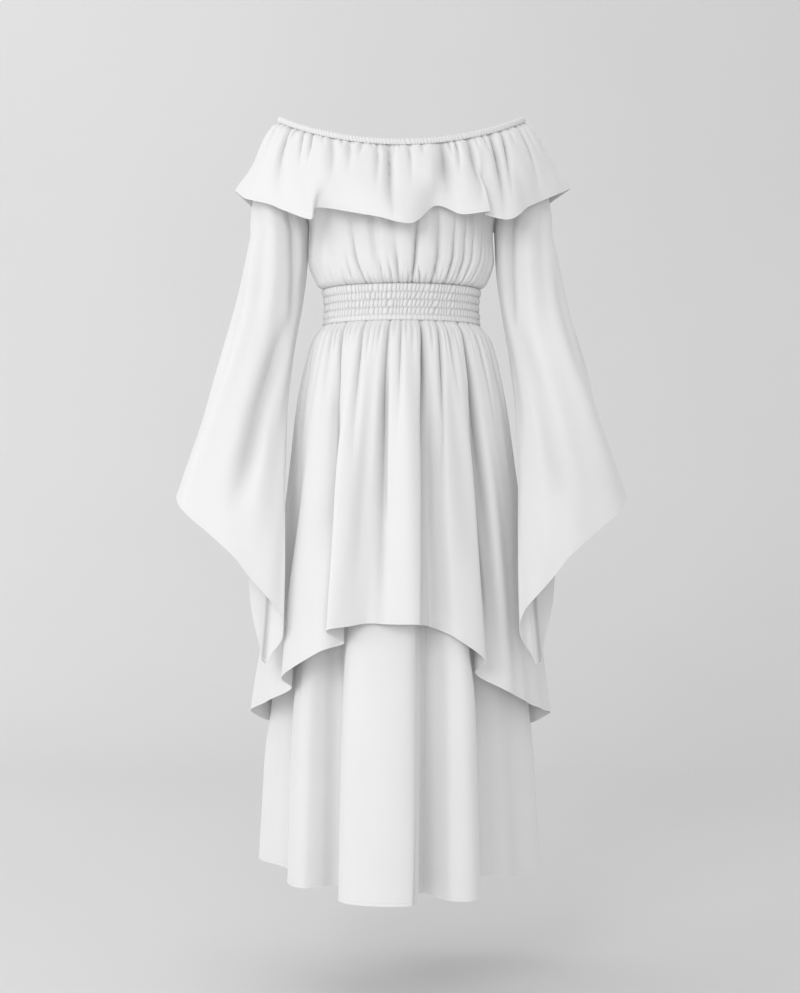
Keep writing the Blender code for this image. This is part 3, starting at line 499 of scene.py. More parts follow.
class Flounce:
    # A gathered tube that falls from a seam to a folded hem; at runs once round it, from 0 to 1
    def __init__(self, values, seam):
        folds, size = values["folds"], values["hemSize"]
        angle, share, z = (
            np.stack([folds[part + name] for part in ("valley", "left", "right")], axis=-1).ravel()
            for name in ("Deg", "Share", "Z")
        )
        self.outline = onEllipse(np.radians(angle), share * size[0], share * size[1], z)
        self.spread, self.seam, self.unfold = values["spread"], seam, values["unfold"]
        self.opens = np.append(folds["opens"], folds["opens"][0])
        # Above the hem the folds start from a softened form of its outline
        steps = 1440
        sharp = closedSpline(self.outline, np.arange(steps) / steps * len(self.outline))
        waves = np.fft.rfft(sharp, axis=0)
        blur = np.exp(-((np.arange(len(waves)) / (0.75 * len(folds["seamDeg"]))) ** 2))
        soft = np.fft.irfft(waves * blur[:, None], steps, axis=0)
        self.softAt, self.soft = np.arange(steps + 1) / steps, np.concatenate([soft, soft[:1]])
        self.starts = np.append(folds["seamDeg"], folds["seamDeg"][0] + 360.0)
        self.knots = np.linspace(0, 1, len(self.starts))
        self.rightSide, self.leftSide = self.atOf(-90.0), self.atOf(90.0)

    def atOf(self, degrees):
        return float(np.interp((degrees - self.starts[0]) % 360 + self.starts[0], self.starts, self.knots))

    def degreesOf(self, at):
        return np.interp(at % 1.0, self.knots, self.starts) + 360.0 * np.floor(at)

    def hemAt(self, at):
        return closedSpline(self.outline, (at % 1.0) * len(self.outline))

    def point(self, at, share):
        at, share = np.broadcast_arrays(np.asarray(at, float), np.asarray(share, float))
        top = self.seam(np.radians(self.degreesOf(at)))
        hem = self.hemAt(at)
        spread = smoothAlong(*self.spread, share)[..., None]
        halfStep = 0.5 / len(self.softAt)
        full = np.interp((at - halfStep) % 1.0, self.knots, self.opens)
        # Folds that open only at the hem do so at once
        late = self.unfold * np.interp(full, [0.6, 1.0], [1.0, 2.4])
        opened = ease((share / full - 0.1) / 0.9) ** late
        outline = hem.copy()
        for axis in (0, 1):
            soft = np.interp(at % 1.0, self.softAt, self.soft[:, axis])
            outline[..., axis] = soft + (hem[..., axis] - soft) * opened
        place = top + (outline - top) * spread
        place[..., 2] = top[..., 2] + (hem[..., 2] - top[..., 2]) * share
        return place


ruffleForm = Flounce(ruffle, ruffleSeam)
overForm = Flounce(overskirt, waistSeam(0.0))
underForm = Flounce(underskirt, waistSeam(underskirt["inset"]))
reachRows, reachColumns = 72, 120
reachStep = (body["waistBottom"] - hemZ) / (reachRows - 1)


def onReachGrid(place):
    # Distance from the dress's axis, then column and row in a grid of directions and heights
    column = np.arctan2(place[..., 0], -place[..., 1]) / turn % 1.0 * reachColumns
    return np.hypot(place[..., 0], place[..., 1]), column, (body["waistBottom"] - place[..., 2]) / reachStep


def reachOf(form):
    # The overskirt's least radius in each direction at each height, carried on below its hem
    at, share = np.meshgrid(np.linspace(0, 1, 2401), np.linspace(0, 1, 241))
    radius, column, row = onReachGrid(form.point(at, share))
    column = np.round(column).astype(int) % reachColumns
    row = np.clip(np.floor(row).astype(int), 0, reachRows - 1)
    reach = np.full((reachRows, reachColumns), np.inf)
    np.minimum.at(reach, (row, column), radius)
    for k in range(1, reachRows):
        empty = np.isinf(reach[k])
        reach[k, empty] = reach[k - 1, empty] + 0.6 * reachStep
    tight = np.minimum(np.minimum(np.roll(reach, 1, 1), reach), np.roll(reach, -1, 1))
    return 0.25 * np.roll(tight, 1, 1) + 0.5 * tight + 0.25 * np.roll(tight, -1, 1)


overReach = reachOf(overForm)


def drawnIn(place):
    # The underskirt's folds are pressed in where the overskirt lies on them
    radius, column, row = onReachGrid(place)
    depth = body["waistBottom"] - place[..., 2]
    row = np.clip(row, 0, reachRows - 1.001)
    j, i = np.floor(column).astype(int), np.floor(row).astype(int)
    u, v = column - j, row - i
    first, second = j % reachColumns, (j + 1) % reachColumns
    near, below = (overReach[k, first] * (1 - u) + overReach[k, second] * u for k in (i, i + 1))
    most = near * (1 - v) + below * v - 0.0016 - underskirt["layerGap"] * ease(depth / 0.05)
    soft = 0.0005 + 0.008 * ease(depth / 0.15)
    least = most - soft * np.log1p(np.exp(np.clip((most - radius) / soft, -30, 30)))
    place[..., :2] *= (np.minimum(least, radius) / radius)[..., None]
    return place


def fineGathers(dice, count, first, span, lean, reach, width, depth):
    # Short gathers side by side along a seam, with ranges for their reach, width and depth in mm
    rows = []
    for k in range(count):
        start = first + span * (k + dice.uniform(0.1, 0.9)) / count
        rows.append({
            "a0": start, "a1": start * lean, "reach": dice.uniform(*reach), "width": dice.uniform(*width),
            "depthMm": dice.uniform(*depth), "sharp": 0.5,
        })
    return rows


def allRound(values):
    # The back half gets gathers like the front's in an order of its own, and short ones fill the whole seam
    dice = np.random.default_rng(values["seed"])
    front = rowsOf(values["gathers"])
    rows = list(front)
    for row, other in zip(front, dice.permutation(len(front))):
        other = front[other]
        start = 180 - row["a0"] + dice.uniform(-1.5, 1.5)
        rows.append(dict(other, a0=start, a1=start + (other["a1"] - other["a0"]) * 0.6))
    return rows + fineGathers(dice, values["fine"], -90, 360, 1, (0.04, 0.15), (0.6, 1.0), (1.6, 3.8))


def gathered(a, b, rows, spreadOut, wrap=None):
    # Gathers that start narrow at the seam (b = 0), widen as the cloth opens and fade at their own lengths
    total = np.zeros(np.broadcast(a, b).shape)
    for row in rows:
        t = b / row["reach"]
        off = offsetFrom(row["a0"] + (row["a1"] - row["a0"]) * np.clip(t, 0, 1), a, wrap)
        wide = row["width"] * (0.7 + spreadOut * b)
        fade = (0.85 + 0.15 * ease(t / 0.25)) * (1 - ease((t - 0.20) / 0.90))
        line, hollow = np.exp(-np.abs(off) / (0.45 * wide)), np.exp(-((off / wide) ** 2))
        total -= row["depthMm"] * fade * (row["sharp"] * line + (1 - row["sharp"]) * hollow)
    return total / 1000


def puffed(share, values):
    # The cloth's swell below a gathered seam
    return values["puff"] * (1 - ease(share / values["puffReach"])) * ease(share / values["rise"])


def shadeOf(sunk, most, deep, power):
    # Painted crease shade of cloth that sinks in, at its most from the depth of deep metres on
    return most * np.clip(-sunk / deep, 0, 1) ** power


# Painted shade in the gathers: its most, the depth where it is full, and its power
gatherShade = (0.8, 0.0105, 1.8)


def flounceRelief(values, rows, degrees, at, share):
    start, span = values["wavesFrom"]
    waves = softWaves(at, share * values["drop"], values["waveSeed"], *values["waves"], closed=True)
    relief = waves * ease((share - start) / span)
    crease = np.zeros(relief.shape)
    if rows:
        rise = 0.75 + 0.25 * ease(share / values["rise"])
        sunk = rise * gathered(degrees, share, rows, values["spreadOut"], wrap=360)
        # Near the seam a gather is no deeper than the room behind it
        least, more = values["room"]
        room = least + more * share
        sunk = room * np.tanh(sunk / room)
        relief += puffed(share, values) + sunk
        # Painted shade in the gathers, and more of it right under the seam
        crease += shadeOf(sunk, *gatherShade)
        crease += shadeOf(sunk, values["seamShade"], least, 2) * (1 - ease(share / 0.05))
    if "edges" in values:
        edges, shade = foldEdges(degrees, share, values["edges"], wrap=360)
        relief += edges
        crease += shade
    if "creases" in values:
        hollows = troughs(degrees, share, values["creases"], wrap=360)
        relief += hollows
        crease += shadeOf(hollows, *values["hollowShade"])
    return relief, crease


def hemShares(count, lengths, power):
    # Rows of a panel: closer near the seam, then the hem's own rows at real distances from its edge
    hemRows = np.array([0.0085, 0.0062, 0.0053, 0.0047, 0.0040, 0.0015, 0.0])
    upper = np.linspace(0, 1, count - len(hemRows), endpoint=False) ** power
    ends = 1 - hemRows[:, None] / lengths[None, :]
    shares = np.concatenate([upper[:, None] * ends[:1], ends])
    distance = (1 - shares) * lengths[None, :]
    thick = np.interp(distance, [0, 0.0042, 0.0050, 0.0058, 0.0075], [1.1, 1.1, 0.95, 1.0, 1.0])
    return shares, distance, thick


# Columns beside a side seam, as shares of the way round, the seam's own groove, and the painted shade under
# the top seam, in metres
sideSeam = {
    "steps": np.array([-0.0006, 0.0, 0.0006, 0.0013, 0.0022]), "clear": 0.0035,
    "groove": 0.00008, "width": 0.0006, "topShade": 0.8, "topReach": 0.0014,
}


def addFlounce(name, form, values, adjust=None):
    # Both halves come from one continuous surface, so that they meet at the side seams
    print(name)
    rows = allRound(values) if "gathers" in values else []
    steps = sideSeam["steps"]
    for half, start, end in (
        ("front", form.rightSide, form.leftSide),
        ("back", form.leftSide, form.rightSide + 1),
    ):
        count = values["columns"] - 2 * len(steps) + 2
        middle = np.linspace(start + sideSeam["clear"], end - sideSeam["clear"], count)
        at = np.concatenate([start + steps, middle, end - steps[::-1]])
        lengths = np.linalg.norm(form.hemAt(at) - form.seam(np.radians(form.degreesOf(at))), axis=-1)
        shares, distance, thick = hemShares(values["rows"], lengths, values["power"])
        fromSeam = np.minimum(at - start, end - at) * np.ones(shares.shape)
        at = np.broadcast_to(at, shares.shape)
        place = form.point(at, shares)
        if adjust:
            place = adjust(place)
        normal = gridNormals(place)
        normal[..., 2] *= ease(shares / 0.08)
        height, crease = flounceRelief(values, rows, form.degreesOf(at), at, shares)
        height = height - sideSeam["groove"] * np.exp(-((fromSeam / sideSeam["width"]) ** 2))
        # Painted shade along the top seam, where the cloth tucks under it
        crease = crease + sideSeam["topShade"] * np.exp(-shares * lengths / sideSeam["topReach"])
        place = place + normal * height[..., None]
        normal = gridNormals(place)[:, 1:-1]
        place, distance, thick, crease = (v[:, 1:-1] for v in (place, distance, thick, crease))
        along = np.concatenate([[0], np.cumsum(np.linalg.norm(np.diff(place[-1], axis=0), axis=-1))])
        cloth = np.stack([np.broadcast_to(along, distance.shape), distance], axis=-1)
        addCloth(f"{name}_{half}", (place, normal, cloth, crease), values["thickness"] * thick,
                 "hemmed")


addFlounce("ruffle", ruffleForm, ruffle)
addFlounce("overskirt", overForm, overskirt)
addFlounce("underskirt", underForm, underskirt, drawnIn)

bodice = {
    "columns": 360, "rows": 50, "thickness": 0.0008, "fine": 46, "gatherScale": 0.85, "lean": 1.03,
    "puff": 0.0060, "puffReach": 0.45, "rise": 0.035,
    "dip": 0.0020, "dipReach": 0.008, "shade": 0.9, "shadeReach": 0.005, "sunkShade": 1.15,
    "casingWaves": 15, "casingDepth": 0.0018,
    "waves": (9, 0.0012, 0.35, 0.09), "size": (0.2, 0.25),
    "cloth": 0.26, "clothFrom": 0.02,
    "sections": table(
        "share halfWidth frontDepth backDepth spreadDeg",
        (0, 0.205, 0.105, 0.105, 48), (0.3, 0.178, 0.117, 0.107, 62), (0.63, 0.1525, 0.121, 0.105, 90),
        (0.8, 0.1515, 0.117, 0.103, 90), (0.93, 0.14, 0.106, 0.1, 90), (1, 0.1318, 0.097, 0.097, 90),
    ),
    # Gathers above the waistband: a is the place across the panel, from -1 to 1
    "gathers": table(
        gatherColumns,
        (-0.88, -0.88, 0.14, 0.022, 2.5, 0.5), (-0.8, -0.8, 0.16, 0.022, 3, 0.5),
        (-0.7, -0.68, 0.2, 0.022, 3.5, 0.5), (-0.61, -0.56, 0.18, 0.018, 4, 0.5),
        (-0.54, -0.52, 0.1, 0.014, 3, 0.6), (-0.478, -0.44, 0.16, 0.016, 5, 0.6),
        (-0.43, -0.43, 0.08, 0.012, 3, 0.6), (-0.387, -0.41, 0.34, 0.02, 6, 0.5),
        (-0.288, -0.42, 0.66, 0.022, 8.5, 0.5), (-0.24, -0.25, 0.1, 0.012, 4, 0.6),
        (-0.14, -0.155, 0.2, 0.014, 6.5, 0.7), (-0.067, -0.095, 0.2, 0.014, 6.5, 0.6),
        (-0.022, -0.045, 0.38, 0.022, 8.5, 0.45), (0.043, 0.09, 0.12, 0.013, 5, 0.6),
        (0.082, 0.125, 0.72, 0.022, 12.5, 0.6), (0.146, 0.108, 0.16, 0.013, 6.5, 0.6),
        (0.19, 0.19, 0.08, 0.012, 3.5, 0.6), (0.241, 0.285, 0.66, 0.026, 9.5, 0.4),
        (0.284, 0.235, 0.14, 0.012, 5.5, 0.6), (0.35, 0.41, 0.56, 0.024, 10.5, 0.5),
        (0.4, 0.41, 0.09, 0.012, 3.5, 0.6), (0.448, 0.5, 0.48, 0.02, 9, 0.6),
        (0.512, 0.59, 0.46, 0.02, 8.5, 0.6), (0.592, 0.71, 0.46, 0.02, 8, 0.6),
        (0.64, 0.65, 0.1, 0.012, 3.5, 0.6), (0.685, 0.73, 0.4, 0.02, 7, 0.6),
        (0.78, 0.8, 0.32, 0.022, 5.5, 0.5), (0.88, 0.89, 0.22, 0.022, 4.5, 0.5),
    ),
    # Soft hollows higher up: a is the place across, b the share of the height above the waistband
    "creases": table(
        creaseColumns,
        (-0.15, 0.12, -0.23, 0.62, 0.034, 7.5), (-0.055, 0.4, -0.06, 0.6, 0.03, 5),
        (0.03, 0.3, 0.02, 0.55, 0.04, -3), (0.18, 0.3, 0.2, 0.6, 0.035, -4),
        (-0.34, 0.4, -0.33, 0.7, 0.05, 3), (-0.55, 0.2, -0.62, 0.55, 0.05, 3),
        (0.56, 0.45, 0.6, 0.7, 0.05, 3),
    ),
}


def bodicePoint(across, share, side):
    cut = bodice["sections"]
    names = ("halfWidth", "frontDepth" if side < 0 else "backDepth", "spreadDeg")
    halfWidth, depth, spread = (smoothAlong(cut["share"], cut[name], share) for name in names)
    angle = across * np.radians(spread)
    seamAngle = across * math.radians(body["raglanDeg"])
    top = neckHeight(seamAngle if side < 0 else math.pi - seamAngle) - 0.0025
    bottom = body["waistTop"] + 0.0003
    out = -0.0018 * (1 - ease(share / 0.3))
    return onEllipse(angle, halfWidth + out, -side * (depth + out), top + (bottom - top) * share)


print("bodice")
for half, side, seed in (("front", -1, 31), ("back", 1, 32)):
    across, share = np.meshgrid(
        np.linspace(-0.9995, 0.9995, bodice["columns"]), 1 - np.linspace(1, 0, bodice["rows"]) ** 1.5
    )
    place = bodicePoint(across, share, side)
    up = 1 - share
    dice = np.random.default_rng(seed)
    scale = bodice["gatherScale"]
    rows = []
    for row in rowsOf(bodice["gathers"]):
        reach = row["reach"] * (1 if side < 0 else dice.uniform(0.7, 1.1))
        rows.append(dict(
            row, a0=-side * row["a0"], a1=-side * row["a1"], reach=reach,
            width=row["width"] * scale, depthMm=row["depthMm"] * scale,
        ))
    rows += fineGathers(dice, bodice["fine"], -1, 2, bodice["lean"], (0.05, 0.13), (0.009, 0.014), (2, 4))
    sunk = gathered(across, up, rows, 1.4)
    relief = sunk + puffed(up, bodice) - bodice["dip"] * np.exp(-up / bodice["dipReach"])
    # Painted shade in the gathers, and a painted dark line along the seam with the waistband
    crease = shadeOf(bodice["sunkShade"] * sunk, *gatherShade)
    crease += bodice["shade"] * np.exp(-up / bodice["shadeReach"])
    hollows = bodice["creases"]
    relief += troughs(across, up, dict(hollows, a0=-side * hollows["a0"], a1=-side * hollows["a1"]))
    # Under the ruffle the cloth is gathered into the casing too
    casingGathers = bodice["casingDepth"] * np.cos(turn * bodice["casingWaves"] * across)
    relief += casingGathers * (1 - ease(share / 0.35)) * ease(share / 0.03)
    wide, tall = bodice["size"]
    relief += softWaves(across * wide, share * tall, seed, *bodice["waves"])
    relief *= ease((1 - np.abs(across)) / 0.03) * 0.8 + 0.2
    normal = gridNormals(place) * -side
    normal[..., 2] *= ease(up / 0.10)
    place = place + normal * relief[..., None]
    cloth = np.stack([across, up], axis=-1) * bodice["cloth"] + np.array([0, bodice["clothFrom"]])
    if side > 0:
        place, cloth, crease = (v[:, ::-1] for v in (place, cloth, crease))
    addCloth(f"bodice_{half}", (place, gridNormals(place), cloth, crease), bodice["thickness"],
             "crepe")

sleeve = {
    "columns": 180, "capRows": 24, "tubeRows": 96, "thickness": 0.0008, "capBulge": 0.010,
    "waves": (10, 0.0016, 0.45, 0.16), "waveAcross": 0.12,
    "hollowShade": (0.42, 0.0150, 1.3), "flatWidth": 0.46,
    "sections": table(
        "z innerX innerY outerX outerY frontBow backBow crease",
        (-0.19, 0.156, 0, 0.2537, 0, 0.06, 0.06, 1), (-0.25, 0.159, 0, 0.267, 0, 0.06, 0.058, 1),
        (-0.3, 0.165, -0.004, 0.278, 0, 0.058, 0.056, 1.05),
        (-0.4, 0.181, -0.022, 0.304, -0.01, 0.056, 0.054, 1.2),
        (-0.5, 0.189, -0.055, 0.33, -0.02, 0.054, 0.053, 1.35),
        (-0.6, 0.189, -0.092, 0.3625, -0.035, 0.05, 0.054, 1.5),
        (-0.7, 0.187, -0.122, 0.392, -0.05, 0.046, 0.054, 1.6),
        (-0.8, 0.188, -0.137, 0.405, -0.062, 0.042, 0.052, 1.7),
        (-0.92, 0.193, -0.145, 0.43, -0.07, 0.038, 0.048, 1.7),
    ),
    # The pointed hem, once round from the inner crease by the front
    "hem": table(
        "round z",
        (0, -0.834), (0.055, -0.808), (0.095, -0.79), (0.153, -0.757), (0.196, -0.723), (0.232, -0.703),
        (0.314, -0.667), (0.4, -0.639), (0.455, -0.6295), (0.5, -0.6265), (0.545, -0.631), (0.7, -0.7),
        (0.78, -0.745), (0.803, -0.81), (0.835, -0.859), (0.878, -0.897), (0.905, -0.876),
        (0.935, -0.862), (0.97, -0.848), (1, -0.834),
    ),
    "folds": table(
        "round width depthMm",
        (0.16, 0.05, 6), (0.27, 0.06, 9), (0.39, 0.05, -5), (0.62, 0.06, 8), (0.74, 0.05, -6),
        (0.88, 0.03, 13),
    ),
    # Soft creases: a is the share of the way round, b the height
    "creases": table(
        creaseColumns,
        (0.175, -0.14, 0.1, -0.32, 0.028, 8.5), (0.35, -0.15, 0.28, -0.33, 0.035, 3.5),
        (0.27, -0.16, 0.2, -0.36, 0.03, -2.5), (0.132, -0.37, 0.194, -0.615, 0.038, 15),
        (0.32, -0.34, 0.37, -0.6, 0.04, -4), (0.13, -0.42, 0.15, -0.7, 0.034, -3.5),
        (0.395, -0.26, 0.36, -0.42, 0.032, 4), (0.06, -0.3, 0.08, -0.52, 0.025, -2),
        (0.7, -0.18, 0.76, -0.42, 0.04, 4.5), (0.85, -0.3, 0.8, -0.62, 0.035, 4),
        (0.62, -0.3, 0.66, -0.56, 0.035, 5.5), (0.52, -0.19, 0.47, -0.4, 0.026, 5),
        (0.56, -0.4, 0.51, -0.59, 0.028, 5), (0.78, -0.46, 0.73, -0.7, 0.03, 7),
        (0.9, -0.38, 0.86, -0.66, 0.028, 5.5), (0.69, -0.52, 0.67, -0.68, 0.03, -4),
    ),
    # How strong each of these is on the wearer's left sleeve
    "leftShare": np.array([1.2, 0.8, 1.0, 0.5, 0.7, 1.0, 1.0, 1.3, 0.7, 1.2, 0.8, 1.2, 0.8, 1.1, 0.8, 1.0]),
    # The back corner's own fold, whose outer part stands in front of the rest
    "edges": table(edgeColumns, (0.868, -0.72, 0.874, -0.96, 1, 1, 7.5, 0.06, 0.0045)),
}


def sleeveTube(around, z):
    angle = turn * around
    cut = sleeve["sections"]
    size = {name: smoothAlong(-cut["z"], cut[name], -z) for name in cut if name != "z"}
    chordX, chordY = size["outerX"] - size["innerX"], size["outerY"] - size["innerY"]
    length = np.hypot(chordX, chordY)
    across = 0.5 - 0.5 * np.cos(angle)
    front = np.sin(angle) > 0
    bow = np.where(front, size["frontBow"], -size["backBow"]) * np.abs(np.sin(angle)) ** size["crease"]
    fall = np.clip((body["underarm"] - z) / 0.5, 0, 1.3)
    for fold in rowsOf(sleeve["folds"]):
        hollow = np.exp(-(((around - fold["round"]) / fold["width"]) ** 2)) * np.abs(np.sin(angle))
        bow = bow - np.where(front, 0.001, -0.001) * fold["depthMm"] * fall * hollow
    return np.stack([
        size["innerX"] + chordX * across + bow * chordY / length,
        size["innerY"] + chordY * across - bow * chordX / length,
        z,
    ], axis=-1)


def capTop(around):
    first = math.radians(body["raglanDeg"])
    top = onNeck(first + (math.pi - 2 * first) * around, -0.0018)
    top[..., 2] -= 0.0030
    return top


def sleeveCap(around, share):
    # Between the casing and the underarm. Its two edges follow the bodice's raglan edges.
    down = share[..., None]

    def between(at):
        top = capTop(at)
        return top + (sleeveTube(at, np.full(at.shape, body["underarm"])) - top) * down

    place = between(around)
    place[..., 0] += sleeve["capBulge"] * np.sin(np.pi * share**1.6) * np.sin(np.pi * around)
    for end, side in ((0.0, -1), (1.0, 1)):
        edge = bodicePoint(np.ones(around.shape), share * 0.63, side)
        edge[..., 0] += 0.0012
        near = (1 - ease(np.abs(around - end) / 0.22))[..., None]
        place += (edge - between(np.full(around.shape, end))) * near * (1 - down**6)
    return place


def sleeveNormals(place):
    # The cap is open at the underarm, and the tube below it is closed
    normal = gridNormals(place)
    normal[sleeve["capRows"]:] = gridNormals(place, ring=True)[sleeve["capRows"]:]
    return normal


print("sleeves")
for half, side, seed in (("left", 1, 41), ("right", -1, 42)):
    around = np.linspace(0, 1, sleeve["columns"])
    hemHeights = smoothAlong(sleeve["hem"]["round"], sleeve["hem"]["z"], around)
    capShare = np.linspace(0, 1, sleeve["capRows"], endpoint=False)
    cap = sleeveCap(*np.meshgrid(around, capShare))
    lengths = (body["underarm"] - hemHeights) * 1.06
    shares, distance, thick = hemShares(sleeve["tubeRows"], lengths, 1.0)
    wide = np.broadcast_to(around, shares.shape)
    tube = sleeveTube(wide, body["underarm"] + (hemHeights - body["underarm"]) * shares)
    place = np.concatenate([cap, tube])
    around = np.broadcast_to(around, place.shape[:2])
    height = place[..., 2]
    creases = dict(sleeve["creases"])
    if side > 0:
        creases["depthMm"] = creases["depthMm"] * sleeve["leftShare"]
    hollows = troughs(around, height, creases)
    waves = softWaves(np.sin(turn * around) * sleeve["waveAcross"], height, seed, *sleeve["waves"])
    relief = (hollows + waves) * ease(np.minimum(around, 1 - around) / 0.04) * ease(-height / 0.08)
    # Painted shade on the low side of the back corner's fold edge and in the soft creases
    edges, crease = foldEdges(around, height, sleeve["edges"])
    crease = crease + shadeOf(hollows, *sleeve["hollowShade"])
    place = place + sleeveNormals(place) * (relief + edges)[..., None]
    normal = sleeveNormals(place)
    thickness = sleeve["thickness"] * np.concatenate([np.ones(cap.shape[:2]), thick])
    fromHem = np.concatenate([np.full(cap.shape[:2], 0.7) - capShare[:, None] * 0.2, distance])
    cloth = np.stack([around * sleeve["flatWidth"], fromHem], axis=-1)
    mirror = np.array([side, 1, 1])
    grid = (place * mirror, normal * mirror, cloth, crease)
    if side < 0:
        grid, thickness = tuple(v[:, ::-1] for v in grid), thickness[:, ::-1]
    addCloth(f"sleeve_{half}", grid, thickness,
             "hemmed", openRows=sleeve["capRows"])


def ripple(dice, low, high, counts, angle):
    return sum(dice.uniform(low, high) * np.sin(n * angle + dice.uniform(0, turn)) for n in counts)


print("neck casing")
casing = {
    "columns": 1200, "rows": 12, "ruches": 236, "puff": 0.0018, "thickness": 0.0006, "from": -58, "to": 238,
}
section = np.radians(np.linspace(casing["from"], casing["to"], casing["rows"]))[:, None]
angle = np.linspace(0, turn, casing["columns"])[None, :]
section, angle = np.broadcast_arrays(section, angle)
dice = np.random.default_rng(51)
wobble = ripple(dice, 0.2, 0.6, (17, 29, 41), angle)
ruche = np.abs(np.cos(0.5 * (casing["ruches"] * angle + 2.5 * wobble + 1.2 * np.sin(section)))) ** 0.7
swell = casing["puff"] * (ruche - 0.4) * (0.35 + 0.65 * np.clip(np.sin(section + 0.5), 0, 1))
place = onNeck(angle, -(0.5 * body["casingDepth"] + swell) * np.cos(section))
place[..., 2] += (0.5 * body["casingHeight"] + 1.2 * swell) * np.sin(section)
place[:, -1] = place[:, 0]
cloth = np.stack([angle * 0.16, section * 0.004], axis=-1)
# Painted shade between the ruches
grid = (place, gridNormals(place, ring=True), cloth, 0.6 * (1 - ruche) ** 2)
addCloth("neck_casing", grid, casing["thickness"],
         "crepe", openRows=0)

print("waistband")
waist = {
    "ribs": 118, "perRib": 8, "rowsPerBand": 6, "thickness": 0.0007, "wall": 0.0008, "tuckedIn": 0.0016,
    "bands": table(
        "height puff lean",
        (14, 0.0028, 0.35), (12.5, 0.0032, 0.45), (12.5, 0.0032, 0.45), (12, 0.003, 0.4), (9.5, 0.0014, 0.15),
    ),
}
bandTop = body["waistTop"]
bandHeight = bandTop - body["waistBottom"]
heights = waist["bands"]["height"] * bandHeight / waist["bands"]["height"].sum()
levels = bandTop - np.concatenate([[0], np.cumsum(heights)])
angle = np.linspace(0, turn, waist["ribs"] * waist["perRib"] + 1)
dice = np.random.default_rng(52)
common = ripple(dice, 0.3, 0.8, (3, 7, 13, 23), angle)
rowsZ, rowsOut, crease = [], [], []
for k, band in enumerate(rowsOf(waist["bands"])):
    drift = common + ripple(dice, 0.3, 0.7, (11, 19, 31), angle)
    strength = 0.78 + 0.22 * np.sin(17 * angle + dice.uniform(0, turn)) * np.sin(5 * angle + k)
    for step in np.linspace(0, 1, waist["rowsPerBand"], endpoint=k == len(heights) - 1):
        slant = band["lean"] * (step - 0.5) * (0.35 + ease(0.5 + 1.5 * np.sin(angle)))
        rib = np.abs(np.cos(0.5 * (waist["ribs"] * angle + 1.6 * drift) + 0.5 * turn * slant)) ** 0.6
        swell = np.sin(np.pi * step) ** 0.4
        rowsZ.append(np.full(angle.shape, levels[k] + (levels[k + 1] - levels[k]) * step))
        rowsOut.append(waist["wall"] + band["puff"] * strength * swell * (0.05 + 0.95 * rib))
        # Painted shade between the smocked rows and between the ribs
        crease.append(np.clip(0.28 * (1 - swell) + (1 - rib) ** 1.6 * band["puff"] / 0.0032, 0, 0.9))
rowsZ, rowsOut, crease = np.array(rowsZ), np.array(rowsOut), np.array(crease)
# Its first and last rows are tucked into the seams, with full painted shade there
crease[[0, -1]] = 1.0
rowsOut[[0, -1]] -= waist["tuckedIn"]
share = (bandTop - rowsZ) / bandHeight
pinch = 1 - body["waistPinch"] * np.sin(np.pi * share)
place = onEllipse(angle, body["waistWidth"] * pinch + rowsOut, body["waistDepth"] * pinch + rowsOut, rowsZ)
place[:, -1] = place[:, 0]
cloth = np.stack([np.broadcast_to(angle * 0.2, rowsZ.shape), share * 0.06 + 0.02], axis=-1)
grid = (place, gridNormals(place, ring=True), cloth, crease)
addCloth("waistband", grid, waist["thickness"],
         "shirring", openRows=0)

print("studio")
studio = {
    "floor": -1.450, "wallY": 4.2, "bend": 2.2, "halfWidth": 9.0, "front": -7.0, "wallHeight": 9.0,
    "grey": "#DEDDDD", "cloud": "#E2E1E1", "air": "#F4F5F7", "airStrength": 0.76,
    "camera": (0.0, -2.65, -0.628), "lens": 57.2, "shiftX": -0.0015,
    # Where each light stands, what it looks at, its width and its power
    "lights": {
        "key_softbox": ((-1.7, -4.0, 1.0), (0, 0, -0.45), 2.2, 56),
        "side_softbox": ((-3.9, -1.4, 0.3), (0, 0, -0.6), 2.6, 34),
        "front_softbox": ((0.3, -4.4, -0.45), (0, 0, -0.40), 1.8, 33),
        "wall_light": ((-2.6, 1.0, 2.6), (-1.2, 4.2, -0.2), 2.6, 30),
    },
}


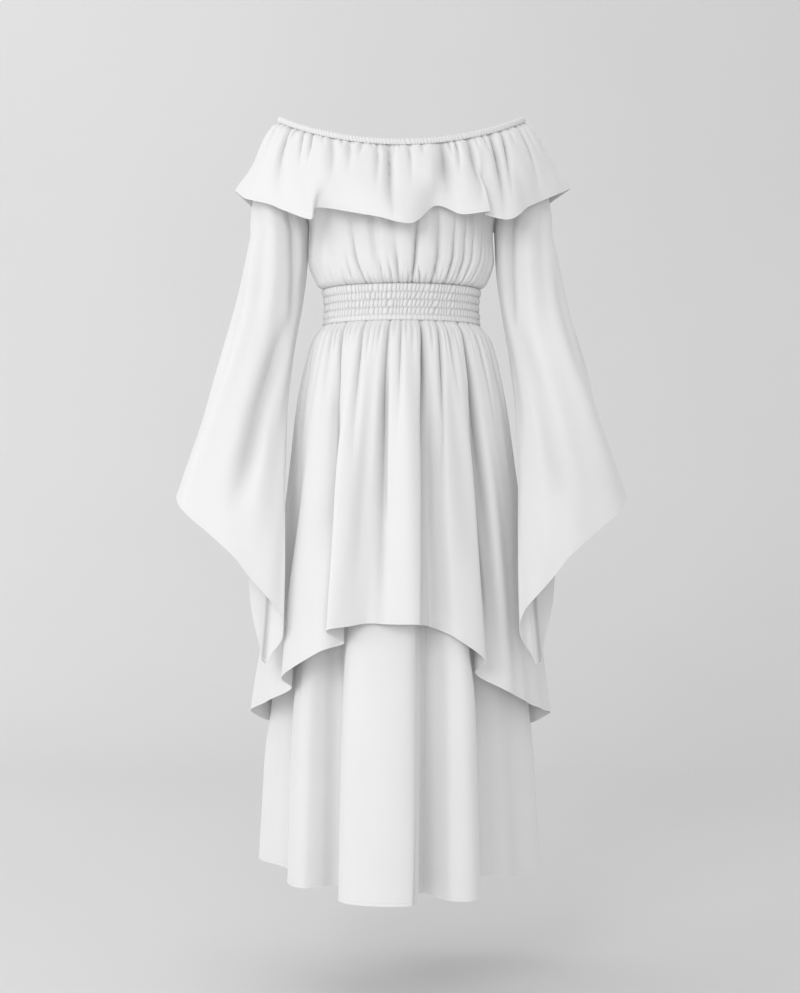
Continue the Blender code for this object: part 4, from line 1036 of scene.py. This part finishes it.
def sweep(values):
    # Floor that curves up into the wall
    profile = [(values["front"], values["floor"])]
    bend, quarter = values["bend"], np.linspace(0, math.pi / 2, 17)
    for a in quarter:
        y, z = values["wallY"] - bend * (1 - math.sin(a)), values["floor"] + bend * (1 - math.cos(a))
        profile.append((y, z))
    profile.append((values["wallY"], values["wallHeight"]))
    xs = np.linspace(-values["halfWidth"], values["halfWidth"], 9)
    points = np.array([[(x, y, z) for x in xs] for y, z in profile])
    index = np.arange(points.shape[0] * points.shape[1]).reshape(points.shape[:2])
    return meshObject("studio_sweep", points.reshape(-1, 3), gridFaces(index, flip=True))


def paperMaterial(values):
    # Seamless background paper: uncoated, so it has no shine, with a faint cloudy tone
    material, shader = newMaterial("seamless_paper", {"Roughness": 0.95, "Specular IOR Level": 0.1})
    tree = material.node_tree
    place = addNode(tree, "ShaderNodeTexCoord").outputs["Object"]
    cloud = addNode(tree, "ShaderNodeTexNoise", {"Vector": place, "Scale": 1.2, "Detail": 3.0})
    tone = addMix(tree, cloud.outputs["Fac"], linear(values["grey"]), linear(values["cloud"]))
    feed(shader, {"Base Color": tone})
    return material


backdrop = sweep(studio)
backdrop.data.materials.append(paperMaterial(studio))


def addToScene(name, data, place):
    thing = bpy.data.objects.new(name, data)
    thing.location = place
    bpy.context.scene.collection.objects.link(thing)
    return thing


for name, (place, target, size, power) in studio["lights"].items():
    light = bpy.data.lights.new(name, "AREA")
    light.shape = "DISK"
    light.size = size
    light.energy = power
    lamp = addToScene(name, light, place)
    lamp.rotation_euler = (Vector(target) - lamp.location).to_track_quat("-Z", "Y").to_euler()

world = bpy.data.worlds.new("studio_air")
world.use_nodes = True
feed(world.node_tree.nodes["Background"], {"Color": linear(studio["air"]), "Strength": studio["airStrength"]})
bpy.context.scene.world = world
bpy.context.scene.view_settings.view_transform = "Standard"

camera = bpy.data.cameras.new("camera")
camera.lens = studio["lens"]
camera.sensor_width = 36
camera.sensor_fit = "AUTO"
camera.shift_x = studio["shiftX"]
cameraObject = addToScene("camera", camera, studio["camera"])
cameraObject.rotation_euler = (math.pi / 2, 0, 0)
bpy.context.scene.camera = cameraObject
